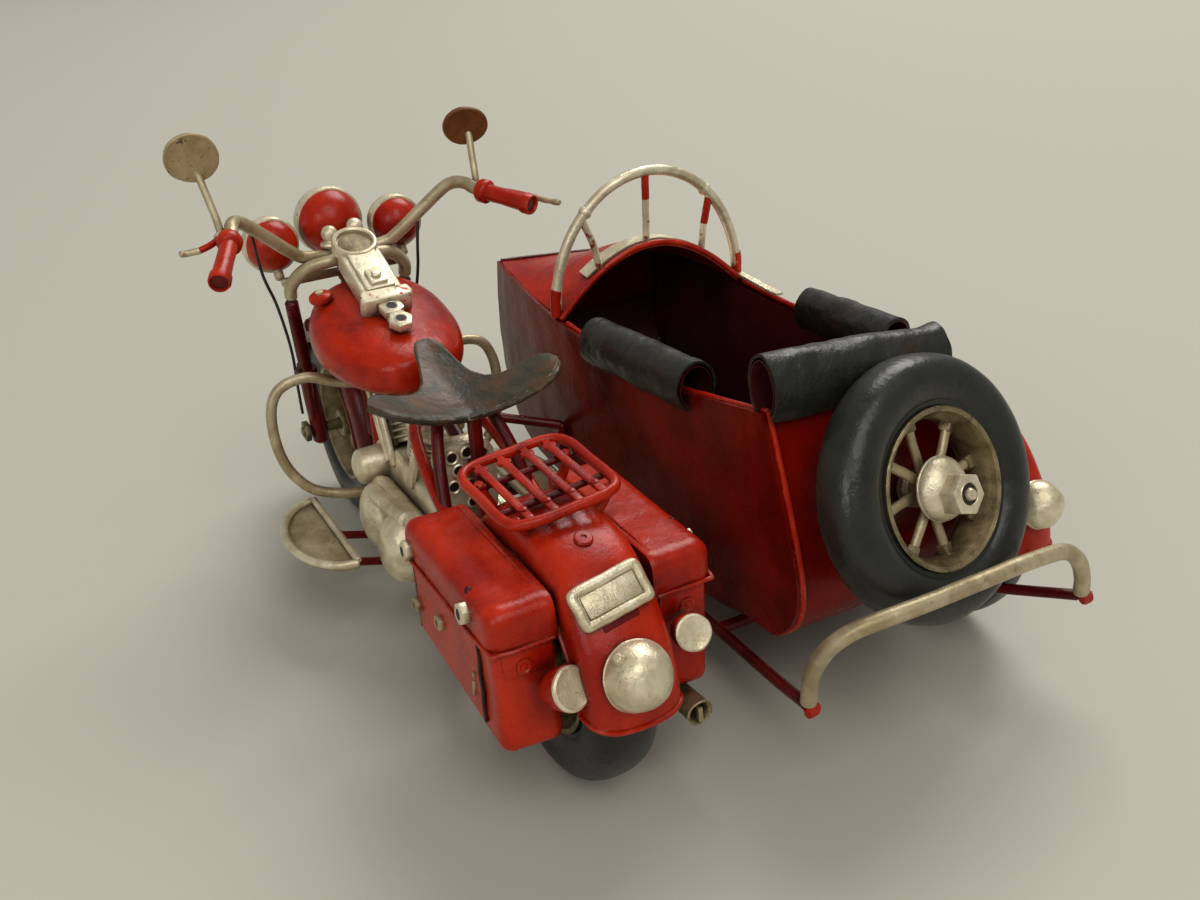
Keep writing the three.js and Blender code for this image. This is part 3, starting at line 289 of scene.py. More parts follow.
def turned(profile, axis=(0, 1, 0), at=(0, 0, 0), sides=48):
    """A solid of revolution: (radius, height) points that start and end on the axis, or close."""
    turn = UP.rotation_difference(Vector(axis).normalized())
    loop = profile[0] == profile[-1] and profile[0][0] > 0
    rows = profile[:-1] if loop else profile
    points, faces, starts = [], [], []
    for r, h in rows:
        starts.append(len(points))
        ring = [Vector((0, 0, h))] if r < 1e-6 else [
            Vector((r * math.cos(2 * math.pi * j / sides), r * math.sin(2 * math.pi * j / sides), h))
            for j in range(sides)]
        points += ring
    spans = list(zip(range(len(rows)), range(1, len(rows)))) + ([(len(rows) - 1, 0)] if loop else [])
    for i, k in spans:
        lone_a, lone_b = rows[i][0] < 1e-6, rows[k][0] < 1e-6
        for j in range(sides):
            a = starts[i] + (0 if lone_a else j)
            b = starts[i] + (0 if lone_a else (j + 1) % sides)
            c = starts[k] + (0 if lone_b else (j + 1) % sides)
            d = starts[k] + (0 if lone_b else j)
            corners = tuple(dict.fromkeys((a, b, c, d)))
            if len(corners) > 2:
                faces.append(corners)
    return [turn @ p + Vector(at) for p in points], faces


def sheet(grid, thickness):
    """A closed sheet of even thickness below a grid of points."""
    rows, columns = len(grid), len(grid[0])
    top = [[Vector(p) for p in row] for row in grid]
    under = []
    for i in range(rows):
        line = []
        for j in range(columns):
            along = top[min(i + 1, rows - 1)][j] - top[max(i - 1, 0)][j]
            across = top[i][min(j + 1, columns - 1)] - top[i][max(j - 1, 0)]
            line.append(top[i][j] - along.cross(across).normalized() * thickness)
        under.append(line)
    points = [p for row in top for p in row] + [p for row in under for p in row]
    half = rows * columns
    faces = []
    for i in range(rows - 1):
        for j in range(columns - 1):
            a = i * columns + j
            faces.append((a, a + 1, a + columns + 1, a + columns))
            faces.append((half + a, half + a + columns, half + a + columns + 1, half + a + 1))
    rim = [j for j in range(columns)] + [i * columns + columns - 1 for i in range(1, rows)]
    rim += [(rows - 1) * columns + j for j in range(columns - 2, -1, -1)]
    rim += [i * columns for i in range(rows - 2, 0, -1)]
    for a, b in zip(rim, rim[1:] + rim[:1]):
        faces.append((a, b, half + b, half + a))
    return points, faces


def reworked(shape, work):
    """The shape after bmesh work on it."""
    mesh = bmesh.new()
    points = [mesh.verts.new(p) for p in shape[0]]
    for face in shape[1]:
        mesh.faces.new([points[i] for i in face])
    bmesh.ops.recalc_face_normals(mesh, faces=mesh.faces)
    work(mesh)
    mesh.verts.index_update()
    made = [v.co.copy() for v in mesh.verts], [tuple(v.index for v in f.verts) for f in mesh.faces]
    mesh.free()
    return made


def bevelled(shape, width, steps=3, sharp=28):
    def work(mesh):
        edges = [e for e in mesh.edges
                 if len(e.link_faces) == 2 and e.calc_face_angle() > math.radians(sharp)]
        bmesh.ops.bevel(mesh, geom=edges, offset=width, segments=steps, profile=0.5, affect="EDGES",
                        clamp_overlap=True)
    return reworked(shape, work)


def prism(outline, low, high, axis="y"):
    """A flat outline pushed from low to high along an axis."""
    place = {"x": lambda u, v, w: (w, u, v), "y": lambda u, v, w: (u, w, v),
             "z": lambda u, v, w: (u, v, w)}[axis]
    return skin([[place(u, v, w) for u, v in outline] for w in (low, high)])


def block(low, high, round_by=0.3, steps=2):
    corners = [(low[0], low[1]), (high[0], low[1]), (high[0], high[1]), (low[0], high[1])]
    return bevelled(prism(corners, low[2], high[2], "z"), round_by, steps)


def pillow(low, high, radius, cell=1.2):
    """A box with generously rounded edges, covered with an even mesh."""
    low, high = Vector(low), Vector(high)
    counts = [max(4, round((high[k] - low[k]) / cell)) for k in range(3)]
    index, points, faces = {}, [], []

    def corner(i, j, k):
        key = (i, j, k)
        if key not in index:
            raw = Vector(low[a] + (high[a] - low[a]) * key[a] / counts[a] for a in range(3))
            core = Vector(min(max(raw[a], low[a] + radius), high[a] - radius) for a in range(3))
            out = raw - core
            index[key] = len(points)
            points.append(core + out.normalized() * radius if out.length > 1e-9 else raw)
        return index[key]

    for axis in range(3):
        u, v = (axis + 1) % 3, (axis + 2) % 3
        for level in (0, counts[axis]):
            for i in range(counts[u]):
                for j in range(counts[v]):
                    quad = []
                    for du, dv in ((0, 0), (1, 0), (1, 1), (0, 1)):
                        key = [0, 0, 0]
                        key[axis], key[u], key[v] = level, i + du, j + dv
                        quad.append(corner(*key))
                    faces.append(tuple(quad))
    return points, faces


def moved(shape, change):
    return [Vector(change(p)) for p in shape[0]], shape[1]


def shifted(shape, offset):
    return moved(shape, lambda p: p + Vector(offset))


def flipped(shape, side):
    return shape if side > 0 else moved(shape, lambda p: (p.x, -p.y, p.z))


def on(side, points):
    """Points written for the left side, on either side."""
    return [(x, side * y, z) for x, y, z in points]


def aimed(shape, axis, at, spin=0.0):
    """A shape that stands on +Z, turned to stand on another direction, at another place."""
    turn = UP.rotation_difference(Vector(axis).normalized())
    cos, sin = math.cos(spin), math.sin(spin)
    return moved(shape, lambda p: Vector(at) + turn @ Vector((p.x * cos - p.y * sin,
                                                              p.x * sin + p.y * cos, p.z)))


def lerp(a, b, t):
    return a + (b - a) * t


def along(stations, at):
    """Reads a value between the stations of a (position, value) list, on straight lines."""
    if at <= stations[0][0]:
        return stations[0][1]
    for (a, from_), (b, to) in zip(stations, stations[1:]):
        if at <= b:
            return lerp(from_, to, (at - a) / (b - a))
    return stations[-1][1]


def hexagon(flats, thickness, at, axis, hole=0.0, spin=0.0, round_by=0.25):
    """A hexagon nut with rubbed corners, and its thread and a near-black disc of painted shade down its hole,
    or None without a hole.
    """
    radius = flats / math.sqrt(3)
    outline = [(radius * math.cos(math.pi * k / 3), radius * math.sin(math.pi * k / 3)) for k in range(6)]
    body = bevelled(prism(outline, 0, thickness, "z"), round_by, 2)
    nut = aimed(body, axis, at, spin)
    if not hole:
        return nut, None
    top = thickness + 0.05
    pit = [(hole + 0.35, thickness - 0.4), (hole + 0.35, top - 0.02), (hole + 0.15, top + 0.12), (hole, top),
           (hole * 0.9, thickness - 0.5), (hole + 0.35, thickness - 0.4)]
    plug = [(0, thickness - 0.6), (hole * 0.98, thickness - 0.6), (hole * 0.98, thickness + 0.03),
            (0, thickness + 0.03)]
    return nut, (aimed(turned(pit, UP, sides=20), axis, at), aimed(turned(plug, UP, sides=20), axis, at))


class Piece:
    """One visible piece, gathered from shapes that each carry a finish."""

    def __init__(self):
        self.points, self.faces, self.finishes = [], [], []

    def add(self, shape, surface, dent=0.07, size=0.09):
        """dent is how far, in mm, the hand-made surface strays; size is how often, per mm."""
        points, faces = shape
        start = len(self.points)
        for p in points:
            stray = noise.noise_vector(p * size) * dent + noise.noise_vector(p * (size * 4)) * (dent * 0.35)
            self.points.append(p + stray)
        self.faces += [tuple(start + i for i in face) for face in faces]
        self.finishes += [surface] * len(faces)
        return self

    def nut(self, flats, thickness, at, axis, hole=0.0, surface=None, spin=0.0):
        body, inside = hexagon(flats, thickness, at, axis, hole, spin)
        self.add(body, surface or SILVER, 0.03)
        if inside:
            self.add(inside[0], surface or SILVER, 0.0)
            # The disc in the hole is painted shade.
            self.add(inside[1], HOLE_SHADE, 0.0)
        return self

    def done(self, name, sharp=36):
        mesh = bpy.data.meshes.new(name + "_fine")
        mesh.from_pydata([p * MM + ORIGIN for p in self.points], [], self.faces)
        kinds = list(dict.fromkeys(self.finishes))
        for kind in kinds:
            mesh.materials.append(kind)
        mesh.polygons.foreach_set("material_index", [kinds.index(kind) for kind in self.finishes])
        work = bmesh.new()
        work.from_mesh(mesh)
        bmesh.ops.recalc_face_normals(work, faces=work.faces)
        for edge in work.edges:
            edge.smooth = len(edge.link_faces) == 2 and edge.calc_face_angle() < math.radians(sharp)
        for face in work.faces:
            face.smooth = True
        work.to_mesh(mesh)
        work.free()
        made = bpy.data.objects.new(name + "_fine", mesh)
        bpy.context.scene.collection.objects.link(made)
        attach(made, BODY_OF[name])
        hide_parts(name)
        return made


SIDES = (("left", 1), ("right", -1))

# ---------------------------------------------------------------- wheels

REAR_HUB, FRONT_HUB = Vector((0, 0, WHEEL_R)), Vector((121, 0, WHEEL_R))
SIDE_HUB = Vector((5, -93.6, WHEEL_R))
HULL_Y = -63.7
SPARE_HUB = Vector((-25.2, HULL_Y + 1.3, 51.2))
SPARE_TILT, SPARE_YAW = math.radians(21), math.radians(9)
SPARE_AXIS = (-math.cos(SPARE_TILT) * math.cos(SPARE_YAW), -math.cos(SPARE_TILT) * math.sin(SPARE_YAW),
              math.sin(SPARE_TILT))
TYRE_BORE, TYRE_HALF = 15.0, 6.75


def make_wheel(name, at, axis=(0, 1, 0), slim=1.0, size=1.0):
    """slim narrows a wheel along its axis, and size shrinks the whole of it."""
    def fitted(shape):
        return aimed(moved(shape, lambda p: (p.x * size, p.y * size, p.z * size * slim)), axis, at)

    middle, depth = (WHEEL_R + TYRE_BORE) / 2, (WHEEL_R - TYRE_BORE) / 2
    profile = [(middle + depth * u, TYRE_HALF * v) for u, v in squared_circle(2.35, 40)]
    profile.append(profile[0])
    tyre = Piece().add(fitted(turned(profile, UP, sides=96)), RUBBER, 0.12, 0.06)
    for half in (-1, 1):
        bead = [(15.4, half * 4.9), (16.6, half * 5.25), (17.1, half * 5.3), (17.3, half * 4.6),
                (15.4, half * 4.6),
                (15.4, half * 4.9)]
        tyre.add(fitted(turned(bead, UP, sides=96)), RUBBER, 0.05)
    tyre.done(name + "_tyre")

    rim = Piece()
    outer, half = 15.1, 5.2
    band = [(outer, -half), (outer + 0.25, -half - 0.35), (outer - 0.1, -half - 0.65),
            (outer - 0.75, -half - 0.3),
            (outer - 1.2, -half + 1.4), (outer - 1.9, -half + 2.6), (outer - 1.9, half - 2.6),
            (outer - 1.2, half - 1.4),
            (outer - 0.75, half + 0.3), (outer - 0.1, half + 0.65), (outer + 0.25, half + 0.35),
            (outer, half),
            (outer, -half)]
    rim.add(fitted(turned(band, UP, sides=84)), BRASS, 0.06)
    hub = [(1.75, -5.5), (3.3, -5.5), (3.6, -5.1), (3.6, -3.4), (2.9, -2.6), (2.9, 2.6), (3.6, 3.4),
           (3.6, 5.1),
           (3.3, 5.5), (1.75, 5.5), (1.75, -5.5)]
    rim.add(fitted(turned(hub, UP, sides=32)), BRASS, 0.03)
    spokes = 8
    for i in range(spokes):
        angle = 2 * math.pi * (i + 0.31) / spokes
        out = Vector((math.cos(angle), math.sin(angle), 0))
        lean = Vector((0, 0, 1.7 if i % 2 else -0.4))
        start, end = out * 2.6 + lean, out * 13.4 + lean * 0.4
        rim.add(fitted(tube([start, (start + end) / 2, end], 1.0, 14, per=4)), TUBE_SILVER, 0.12, 0.4)
        foot = bevelled(prism([(-1.25, -1.25), (1.25, -1.25), (1.25, 1.25), (-1.25, 1.25)], -1.7, 0.4, "z"),
                        0.35, 2)
        rim.add(fitted(aimed(foot, out, end - out * 0.3)), BRASS, 0.12, 0.5)
    rim.done(name + "_rim")


make_wheel("rear", REAR_HUB)
make_wheel("front", FRONT_HUB)
make_wheel("sidecar", SIDE_HUB, slim=0.78)
make_wheel("spare", SPARE_HUB, SPARE_AXIS, 0.82, 0.975)


def on_stud(shape):
    return aimed(shape, SPARE_AXIS, SPARE_HUB)


cap = Piece()
dome = [(0, 2.4), (5.4, 2.4), (6.0, 2.9), (6.05, 3.3), *arch(5.95, 3.5, 3.4, 11), (0, 6.9)]
cap.add(on_stud(turned(dome, UP, sides=52)), SILVER, 0.08, 0.2)
cap.add(on_stud(turned([(0, -10.4), (1.3, -10.4), (1.3, 6), (0, 6)], UP, sides=20)), BRASS, 0.0)
cap.add(on_stud(turned([(0, -8.6), (7.6, -8.6), (8.6, -8.2), (8.4, -7.4), (4, -6.4), (0, -6.4)], UP,
                       sides=36)),
        CRIMSON, 0.15, 0.3)
cap.add(on_stud(turned([(0, 1.2), (4.6, 1.2), (5.2, 1.8), (5.0, 2.6), (0, 2.6)], UP, sides=36)), CRIMSON, 0.1)
nut_foot = SPARE_HUB + Vector(SPARE_AXIS) * 5.7 + Vector((0, 0, -1.0))
cap.nut(7.0, 4.2, nut_foot, SPARE_AXIS, 2.0, SILVER, 0.35)
stud = [(0, 7.8), (1.1, 7.8), (1.15, 10.1), (0.9, 10.7), (0, 10.9)]
cap.add(shifted(on_stud(turned(stud, UP, sides=20)), (0, 0, -1.0)), SILVER, 0.14, 0.6)
cap.done("spare_hub_nut")


def make_axle(name, hub, half, flats):
    piece = Piece()
    piece.add(turned([(0, -half - 2), (1.1, -half - 2), (1.4, -half - 1.7), (1.4, half + 1.7),
                      (1.1, half + 2),
                      (0, half + 2)], (0, 1, 0), hub, 24), BRASS, 0.03)
    for side in (-1, 1):
        piece.nut(flats, 1.5, hub + Vector((0, side * half, 0)), (0, side, 0), 0, BRASS)
    piece.done(name)


make_axle("rear_axle", REAR_HUB, 9.7, 4.4)
make_axle("front_axle", FRONT_HUB, 13.6, 4.8)

# ---------------------------------------------------------------- frame, tank, saddle

RAKE = math.tan(math.radians(12))


def steer(z, y=0.0, ahead=0.0):
    """A point at a height on the steering axis, moved sideways and ahead."""
    return Vector((118 - (z - WHEEL_R) * RAKE + ahead, y, z))


STEER_AXIS = steer(70) - steer(60)
TUBE = 1.5
bike = Piece()
head = [(0, 0), (2.9, 0), (3.2, 0.5), (3.2, 1.6), (2.7, 2), (2.7, 9), (3.2, 9.4), (3.2, 10.9), (2.9, 11.4),
        (0, 11.4)]
bike.add(turned(head, STEER_AXIS, steer(58.8), 28), CRIMSON, 0.05)
bike.add(tube([(109.5, 0, 61.5), (102, 0, 55.6), (84, 0, 54.4), (62, 0, 53.4), (48, 0, 50), (37, 0, 44)],
              TUBE), CRIMSON)
for side in (1, -1):
    cradle = [(109.8, 1.2, 59.5), (95, 3.4, 48.5), (87.5, 5.2, 32), (84.5, 6.3, 16), (79, 6.3, 12),
              (55, 6.3, 12),
              (32, 7.2, 12.6), (15, 9.2, 17), (3.6, 8.8, 23.9)]
    bike.add(tube(on(side, cradle), TUBE), RED)
    stays = [(3.4, 8.9, 27.3), (28, 9.8, 39), (52, 7.6, 50.4), (60, 0, 53.2)]
    bike.add(tube(on(side, stays), 1.35), RED)
    bike.add(tube([(33.5, side * 9.2, 41.5), (38.4, side * 7.8, 50), (44, side * 5.2, 58.4)], 1.3), CRIMSON)
    drop = [(1.7, -0.6), (4.2, -0.6), (4.4, -0.4), (4.4, 0.4), (4.2, 0.6), (1.7, 0.6), (1.7, -0.6)]
    bike.add(turned(drop, (0, 1, 0), (0, side * 8.8, WHEEL_R), 28), CRIMSON, 0.04)
    for x in (66, 80):
        bike.add(tube([(x, side * 6.3, 12.3), (x, side * 24, 17.6)], 0.95, 12), CRIMSON)
    bike.add(tube([(103, side * 2.6, 54), (97, side * 3.6, 44), (91, side * 4.8, 34)], 2.1, 14, flat=0.5),
             CRIMSON)
bike.add(tube([(37, 0, 12), (37, 0, 59)], 1.5, 16), CRIMSON)
for x in (79, 37):
    bike.add(tube([(x, -6.3, 12), (x, 6.3, 12)], 1.25, 12), CRIMSON)
bike.done("frame")

TANK_STATIONS = [(64.5, 2.5, 2, 57.4), (66, 6.5, 4, 57.4), (70, 10.8, 5.6, 57.4), (76, 14.2, 6.8, 57.8),
                 (84, 16.2, 8, 58.6), (93, 16.2, 9, 59.8), (100, 14, 9, 60.6), (105, 10.6, 7, 61.4),
                 (108, 6, 4.4, 62),
                 (109, 2.6, 2, 62.2)]


def tank_ring(x, half_width, half_height, z):
    return [(x, half_width * u, z + half_height * v) for u, v in squared_circle(2.45, 64)]


tank = Piece()
widths = smooth([(x, half_width, half_height) for x, half_width, half_height, z in TANK_STATIONS], 6)
levels = smooth([(x, z, 0) for x, half_width, half_height, z in TANK_STATIONS], 6)
tank.add(skin([tank_ring(p.x, p.y, p.z, q.y) for p, q in zip(widths, levels)]), RED, 0.18, 0.05)
seam = [(p.x, 0, q.y - p.z * 0.98) for p, q in zip(widths[3:-3], levels[3:-3])]
tank.add(tube(seam[::4], 0.5, 8, per=3), CRIMSON, 0.03)
CAP_UP, CAP_AT = (-0.1, 0.16, 1), (96.5, 11, 65)
tank.add(turned([(0, 0), (2.1, 0), (2.1, 3.0), (2.6, 3.2), (2.75, 3.6), (2.6, 4.3), (2.1, 4.7), (0, 4.9)],
                CAP_UP, CAP_AT, 28), RED, 0.08, 0.3)
tank.add(turned([(0, 4.4), (0.9, 4.4), (0.9, 5.3), (0, 5.5)], CAP_UP, CAP_AT, 14), SILVER, 0.1, 0.6)
tank.done("fuel_tank")

SLOPE = math.atan2(8.2, 20.6)


def on_tank(shape, x, lift):
    """A shape laid on the tank's sloping top."""
    cos, sin = math.cos(SLOPE), math.sin(SLOPE)
    base = 68.4 + (x - 84) * math.tan(SLOPE) + lift
    return moved(shape, lambda p: (x + p.x * cos - p.z * sin, p.y, base + p.x * sin + p.z * cos))


def flat(outline, low, high, round_by=0.35):
    return bevelled(prism(outline, low, high, "z"), round_by, 3)


console = Piece()
console.add(on_tank(flat([(-10.6, -4.1), (-9.6, -4.9), (7.8, -4.9), (8.6, -3.6), (8.6, 3.6), (7.8, 4.9),
                          (-9.6, 4.9),
                          (-10.6, 4.1)], -3.2, 1.6, 0.7), 94, 0), SILVER, 0.1, 0.2)
console.add(on_tank(flat([(-7.6, -3.4), (6.4, -3.4), (6.4, 3.4), (-7.6, 3.4)], 1.4, 2.3, 0.3), 94, 0), SILVER,
            0.06, 0.3)
console.add(on_tank(flat([(-4.4, -2), (0.6, -2), (0.6, 2), (-4.4, 2)], 2.0, 3.1, 0.3), 92, 0), SILVER, 0.06,
            0.4)
console.add(on_tank(turned([(0, 2.9), (1.1, 2.9), (1.2, 3.6), (0.9, 3.9), (0, 4)], UP, sides=18), 90.2, 0),
            SILVER)
console.add(on_tank(flat([(-2, -5.4), (-0.9, -6.2), (1.6, -5.5), (1.8, -4), (1.8, 4), (1.6, 5.5), (-0.9, 6.2),
                          (-2, 5.4)], -2.4, 2.7, 0.5), 84.6, 0), FLECKED, 0.12, 0.3)
console.add(on_tank(flat([(-2.5, -1.7), (3, -1.7), (3, 1.7), (-2.5, 1.7)], -1.4, 0.1, 0.25), 80.6, 0), SILVER,
            0.08)
dial = [(0, -1.2), (4.8, -1.2), (5.3, -0.6), (5.35, 1.4), (5.1, 1.95), (4.6, 2.1), (4.2, 1.8), (4.05, 1.0),
        (0, 1.0)]
console.add(on_tank(turned(dial, UP, sides=48), 103.2, 0.6), SILVER, 0.05)
console.add(on_tank(turned([(0, 0.9), (3.9, 0.9), (3.8, 1.15), (2.2, 1.3), (0, 1.35)], UP, sides=36), 103.2,
                    0.6),
            BRASS, 0.1, 0.5)
tilt = (-math.sin(SLOPE), 0, math.cos(SLOPE))
for x, lift, spin in ((81.4, 0.3, 0.2), (75.9, 1.2, 0.65)):
    at = Vector((x, 0, 68.4 + (x - 84) * math.tan(SLOPE) + lift - 0.6))
    console.nut(5, 1.9, at, tilt, 1.15, SILVER, spin)
console.done("dash_console")

REAR_EDGE = [(0, 36.6), (5, 35.6), (10, 34.5), (14, 33.9), (17, 34.3), (18.8, 35.6), (19.8, 37.4), (20.2, 39)]
FRONT_EDGE = [(0, 62.2), (1.4, 62.0), (2.6, 61.0), (3.4, 58.8), (4.2, 55.0), (5.4, 50.8), (7.4, 47.4),
              (10, 45.4),
              (13, 44.6), (16, 44.0), (18.4, 43.0), (19.6, 41.4), (20.2, 39.6)]
SEAT_HALF, SEAT_ACROSS, SEAT_ALONG, SEAT_LOW_Z, RIM_CELLS = 20.2, 72, 44, 59.4, 5
hide = []
for i in range(SEAT_ACROSS + 1):
    y = lerp(-SEAT_HALF, SEAT_HALF, i / SEAT_ACROSS)
    back, front = along(REAR_EDGE, abs(y)), along(FRONT_EDGE, abs(y))
    row = []
    for j in range(SEAT_ALONG + 1):
        x = lerp(back, front, j / SEAT_ALONG)
        horn = max(0.0, (x - 34.2) / 27.6)
        dish = SEAT_LOW_Z + 7.0 * (abs(y) / 20) ** 1.5 + 7.6 * horn ** 2.2
        rim = max(0.0, 1 - j / RIM_CELLS) + max(0.0, 1 - (SEAT_ALONG - j) / RIM_CELLS)
        row.append((x, y, dish - 0.5 * rim ** 2 - 1.1 * max(0.0, abs(y) - 16.5) ** 2 / 14))
    hide.append(row)
seat = Piece()
seat.add(sheet(hide, -1.1), SADDLE_HIDE, 0.2, 0.08)
seat.add(tube([(x, y, z - 0.5) for x, y, z in (row[0] for row in hide[::4])], 0.72, 10, per=3), SADDLE_HIDE,
         0.1, 0.3)
seat.add(turned([(0, 0), (3.2, 0), (3.2, 0.8), (1.9, 1.4), (0, 1.6)], (0, 0, -1), (38.5, 0, 59.2), 20),
         SADDLE_HIDE)
seat.done("saddle")

# ---------------------------------------------------------------- engine

CRANK = Vector((70, 0, 27))


def drum(x, z, radius, start, end, swell):
    """A cylinder across the engine, from start up to end along y, with a dome on that end."""
    top = end - start
    profile = [(0, 0), (radius, 0),
               (radius, top - swell)] + arch(radius, swell, top - swell, 6)[1:] + [(0, top)]
    return turned(profile, (0, 1, 0), (x, start, z), 36)


engine = Piece()
engine.add(bevelled(prism([(40.5, 18), (40.5, 33), (49, 35.6), (66, 38), (80.6, 31), (81.4, 22), (72, 15.8),
                           (48, 16.8)], -7.2, 7.2), 1.6, 3), SILVER, 0.2, 0.12)
engine.add(drum(70, 27, 11.3, 0, 7.6, 1.4), SILVER, 0.12, 0.15)
engine.add(drum(72, 29, 7.6, -11.2, 0, 2.2), SILVER, 0.12, 0.15)
engine.add(drum(76, 36.5, 3.2, -9.6, -4, 1.6), SILVER, 0.08, 0.2)
engine.add(drum(79.6, 32.4, 4.3, 2, 14.6, 2.4), SILVER, 0.1, 0.2)
engine.add(turned([(0, 0), (5.0, 0), (5.1, 0.5), (5.0, 1.1), (4.2, 1.3), (0, 1.3)], (0, 1, 0),
                  (79.6, 6.0, 32.4), 32), SILVER)
engine.add(drum(50, 25, 7.6, -9.4, 0, 1.6), SILVER, 0.12, 0.15)
for side, x in ((1, 78), (1, 60), (-1, 60), (-1, 80)):
    engine.add(turned([(0, 0), (0.9, 0), (0.9, 0.6), (0.5, 0.9), (0, 1)], (0, side, 0), (x, side * 7.3, 21),
                      12), TUBE_SILVER)
for x_low, x_high, y in ((74.6, 85.2, 7.4), (71.4, 80.6, 7.2), (60.4, 52.6, 7.4)):
    foot, top = Vector((x_low, y, 34.5)), Vector((x_high, y - 0.6, 49.6))
    outward = Vector((0, 0.6, 0))
    wide = (top - foot).normalized().cross(Vector((0, 1, 0))).normalized()
    corners = [foot + wide * 1.3, foot - wide * 1.3, top - wide * 1.3, top + wide * 1.3]
    engine.add(bevelled(skin([[p - outward for p in corners], [p + outward for p in corners]]), 0.4, 2),
               SILVER, 0.15, 0.2)
engine.done("crankcase")

CYL_LEAN = math.radians(25)


def make_cylinder(name, side):
    axis = Vector((math.sin(side * CYL_LEAN), 0, math.cos(CYL_LEAN)))
    foot = CRANK + axis * 12.4
    profile = [(0, 0), (4.7, 0), (4.7, 0.8)]
    for i in range(5):
        z = 0.9 + i * 1.55
        profile += [(4.3, z), (5.7, z + 0.15), (5.9, z + 0.4), (5.7, z + 0.65), (4.3, z + 0.8)]
    profile += [(5.0, 8.8), (5.4, 9.4), (5.2, 10.2), (3.6, 10.9), (0, 11.2)]
    piece = Piece().add(turned(profile, axis, foot, 32), SILVER, 0.08, 0.2)
    box = bevelled(prism([(-2.7, -6), (2.7, -6), (2.7, 6), (-2.7, 6)], 8.8, 11.6, "z"), 0.8, 3)
    piece.add(aimed(box, axis, foot), SILVER, 0.1, 0.2)
    for y in (-4.4, 4.4):
        piece.add(tube([foot + Vector((0.6 * side, y * 1.1, -1)),
                        foot + axis * 9.2 + Vector((0.3 * side, y, 0))], 0.7, 12),
                  TUBE_SILVER)
        bolt = foot + axis * 11.3 + Vector((0, y, 0))
        piece.nut(2.2, 0.7, bolt, axis, 0, SILVER)
    piece.done(name)


make_cylinder("cylinder_front", 1)
make_cylinder("cylinder_rear", -1)


def oval(xa, za, xb, zb, ra, rb, steps=18):
    heading = math.atan2(za - zb, xa - xb)
    front = [(xa + ra * math.cos(heading - math.pi / 2 + math.pi * i / steps),
              za + ra * math.sin(heading - math.pi / 2 + math.pi * i / steps)) for i in range(steps + 1)]
    back = [(xb + rb * math.cos(heading + math.pi / 2 + math.pi * i / steps),
             zb + rb * math.sin(heading + math.pi / 2 + math.pi * i / steps)) for i in range(steps + 1)]
    return front + back


def dome_drum(x, z, radius, foot, tip, squash=1.0):
    """A drum facing left whose outer end is one full soft curve."""
    side = max(0.3, (tip - foot) * 0.35)
    profile = [(0, 0), (radius, 0), (radius, side)]
    profile += [(radius * math.cos(a) ** 0.8, side + (tip - foot - side) * math.sin(a))
                for a in [math.pi / 2 * k / 10 for k in range(1, 10)]] + [(0, tip - foot)]
    shape = turned(profile, (0, 1, 0), (x, foot, z), 44)
    return moved(shape, lambda p: (p.x, p.y, z + (p.z - z) * squash))


cover = Piece()
cover.add(bevelled(prism(oval(71.5, 25.2, 52, 24.8, 7.2, 7.6), 7.7, 12.6), 2.4, 5), SILVER, 0.2, 0.12)
cover.add(dome_drum(71.0, 23.6, 6.6, 9.4, 16.4, 1.22), SILVER, 0.2, 0.12)
cover.add(dome_drum(55.5, 23.0, 7.0, 9.4, 17.6, 1.18), SILVER, 0.2, 0.12)
cover.add(tube([(72, 12.6, 29.6), (64, 12.4, 30.2), (52, 11.6, 30.6)], 2.2, 16), SILVER, 0.2, 0.15)
cover.done("primary_cover")

plate = Piece()
plate.add(bevelled(prism([(41.6, 31.8), (41.6, 50.4), (44.4, 51.4), (49, 49.6), (51.4, 44.4), (52, 35.4),
                          (47, 34.9), (43.5, 33.8)],
                         -4.2, 5.4), 0.7, 2), SILVER, 0.12)
face = [(-4.4, 32.4), (4.8, 32.4), (6.4, 40), (6.6, 48.6), (5.2, 51.4), (-3.6, 51.4), (-5.0, 48.6),
        (-5.4, 40)]
plate.add(bevelled(prism(face, 40.4, 41.7, "x"), 0.35, 2), SILVER, 0.14)
for y, z in ((4.4, 49.0), (1.0, 49.4), (-2.2, 48.4), (3.2, 45.8), (-0.4, 45.6), (4.6, 42.4), (1.2, 42.0),
             (-2.4, 42.2), (0.6, 38)):
    ring = [(1.05, 0), (1.55, 0), (1.6, 0.5), (1.3, 0.75), (1.05, 0.5), (1.05, 0)]
    plate.add(turned(ring, (-1, 0, 0), (40.5, y, z), 20), SILVER, 0.02)
    # A near-black disc of painted shade sits in each ring in place of an open hole.
    plate.add(turned([(0, 0), (1.1, 0), (1.1, 0.28), (0, 0.28)], (-1, 0, 0), (40.5, y, z), 20), HOLE_SHADE, 0)
plate.done("perforated_plate")

pipe = Piece()
route = smooth([(81, -7.2, 43.4), (84, -9.6, 37), (82, -13, 26.4), (72, -14.4, 20.6), (52, -14.4, 19.4),
                (30, -14.7, 17.2), (0, -15, 16.6), (-13.2, -15.1, 17.2)], 8)
pipe.add(tube(route, 2.4, 20, per=1), BRASS, 0.06)
end_axis = Vector((-8.5, -0.1, 0.45))
torn = [(1.75, 0), (2.3, 0), (2.45, 1), (2.5, 8.4), (2.6, 8.8), (2.3, 9.0), (1.9, 8.6), (1.75, 7.6),
        (1.75, 0)]
pipe.add(turned(torn, end_axis, (-12.8, -15.1, 17.2), 28), BRASS, 0.22, 0.5)
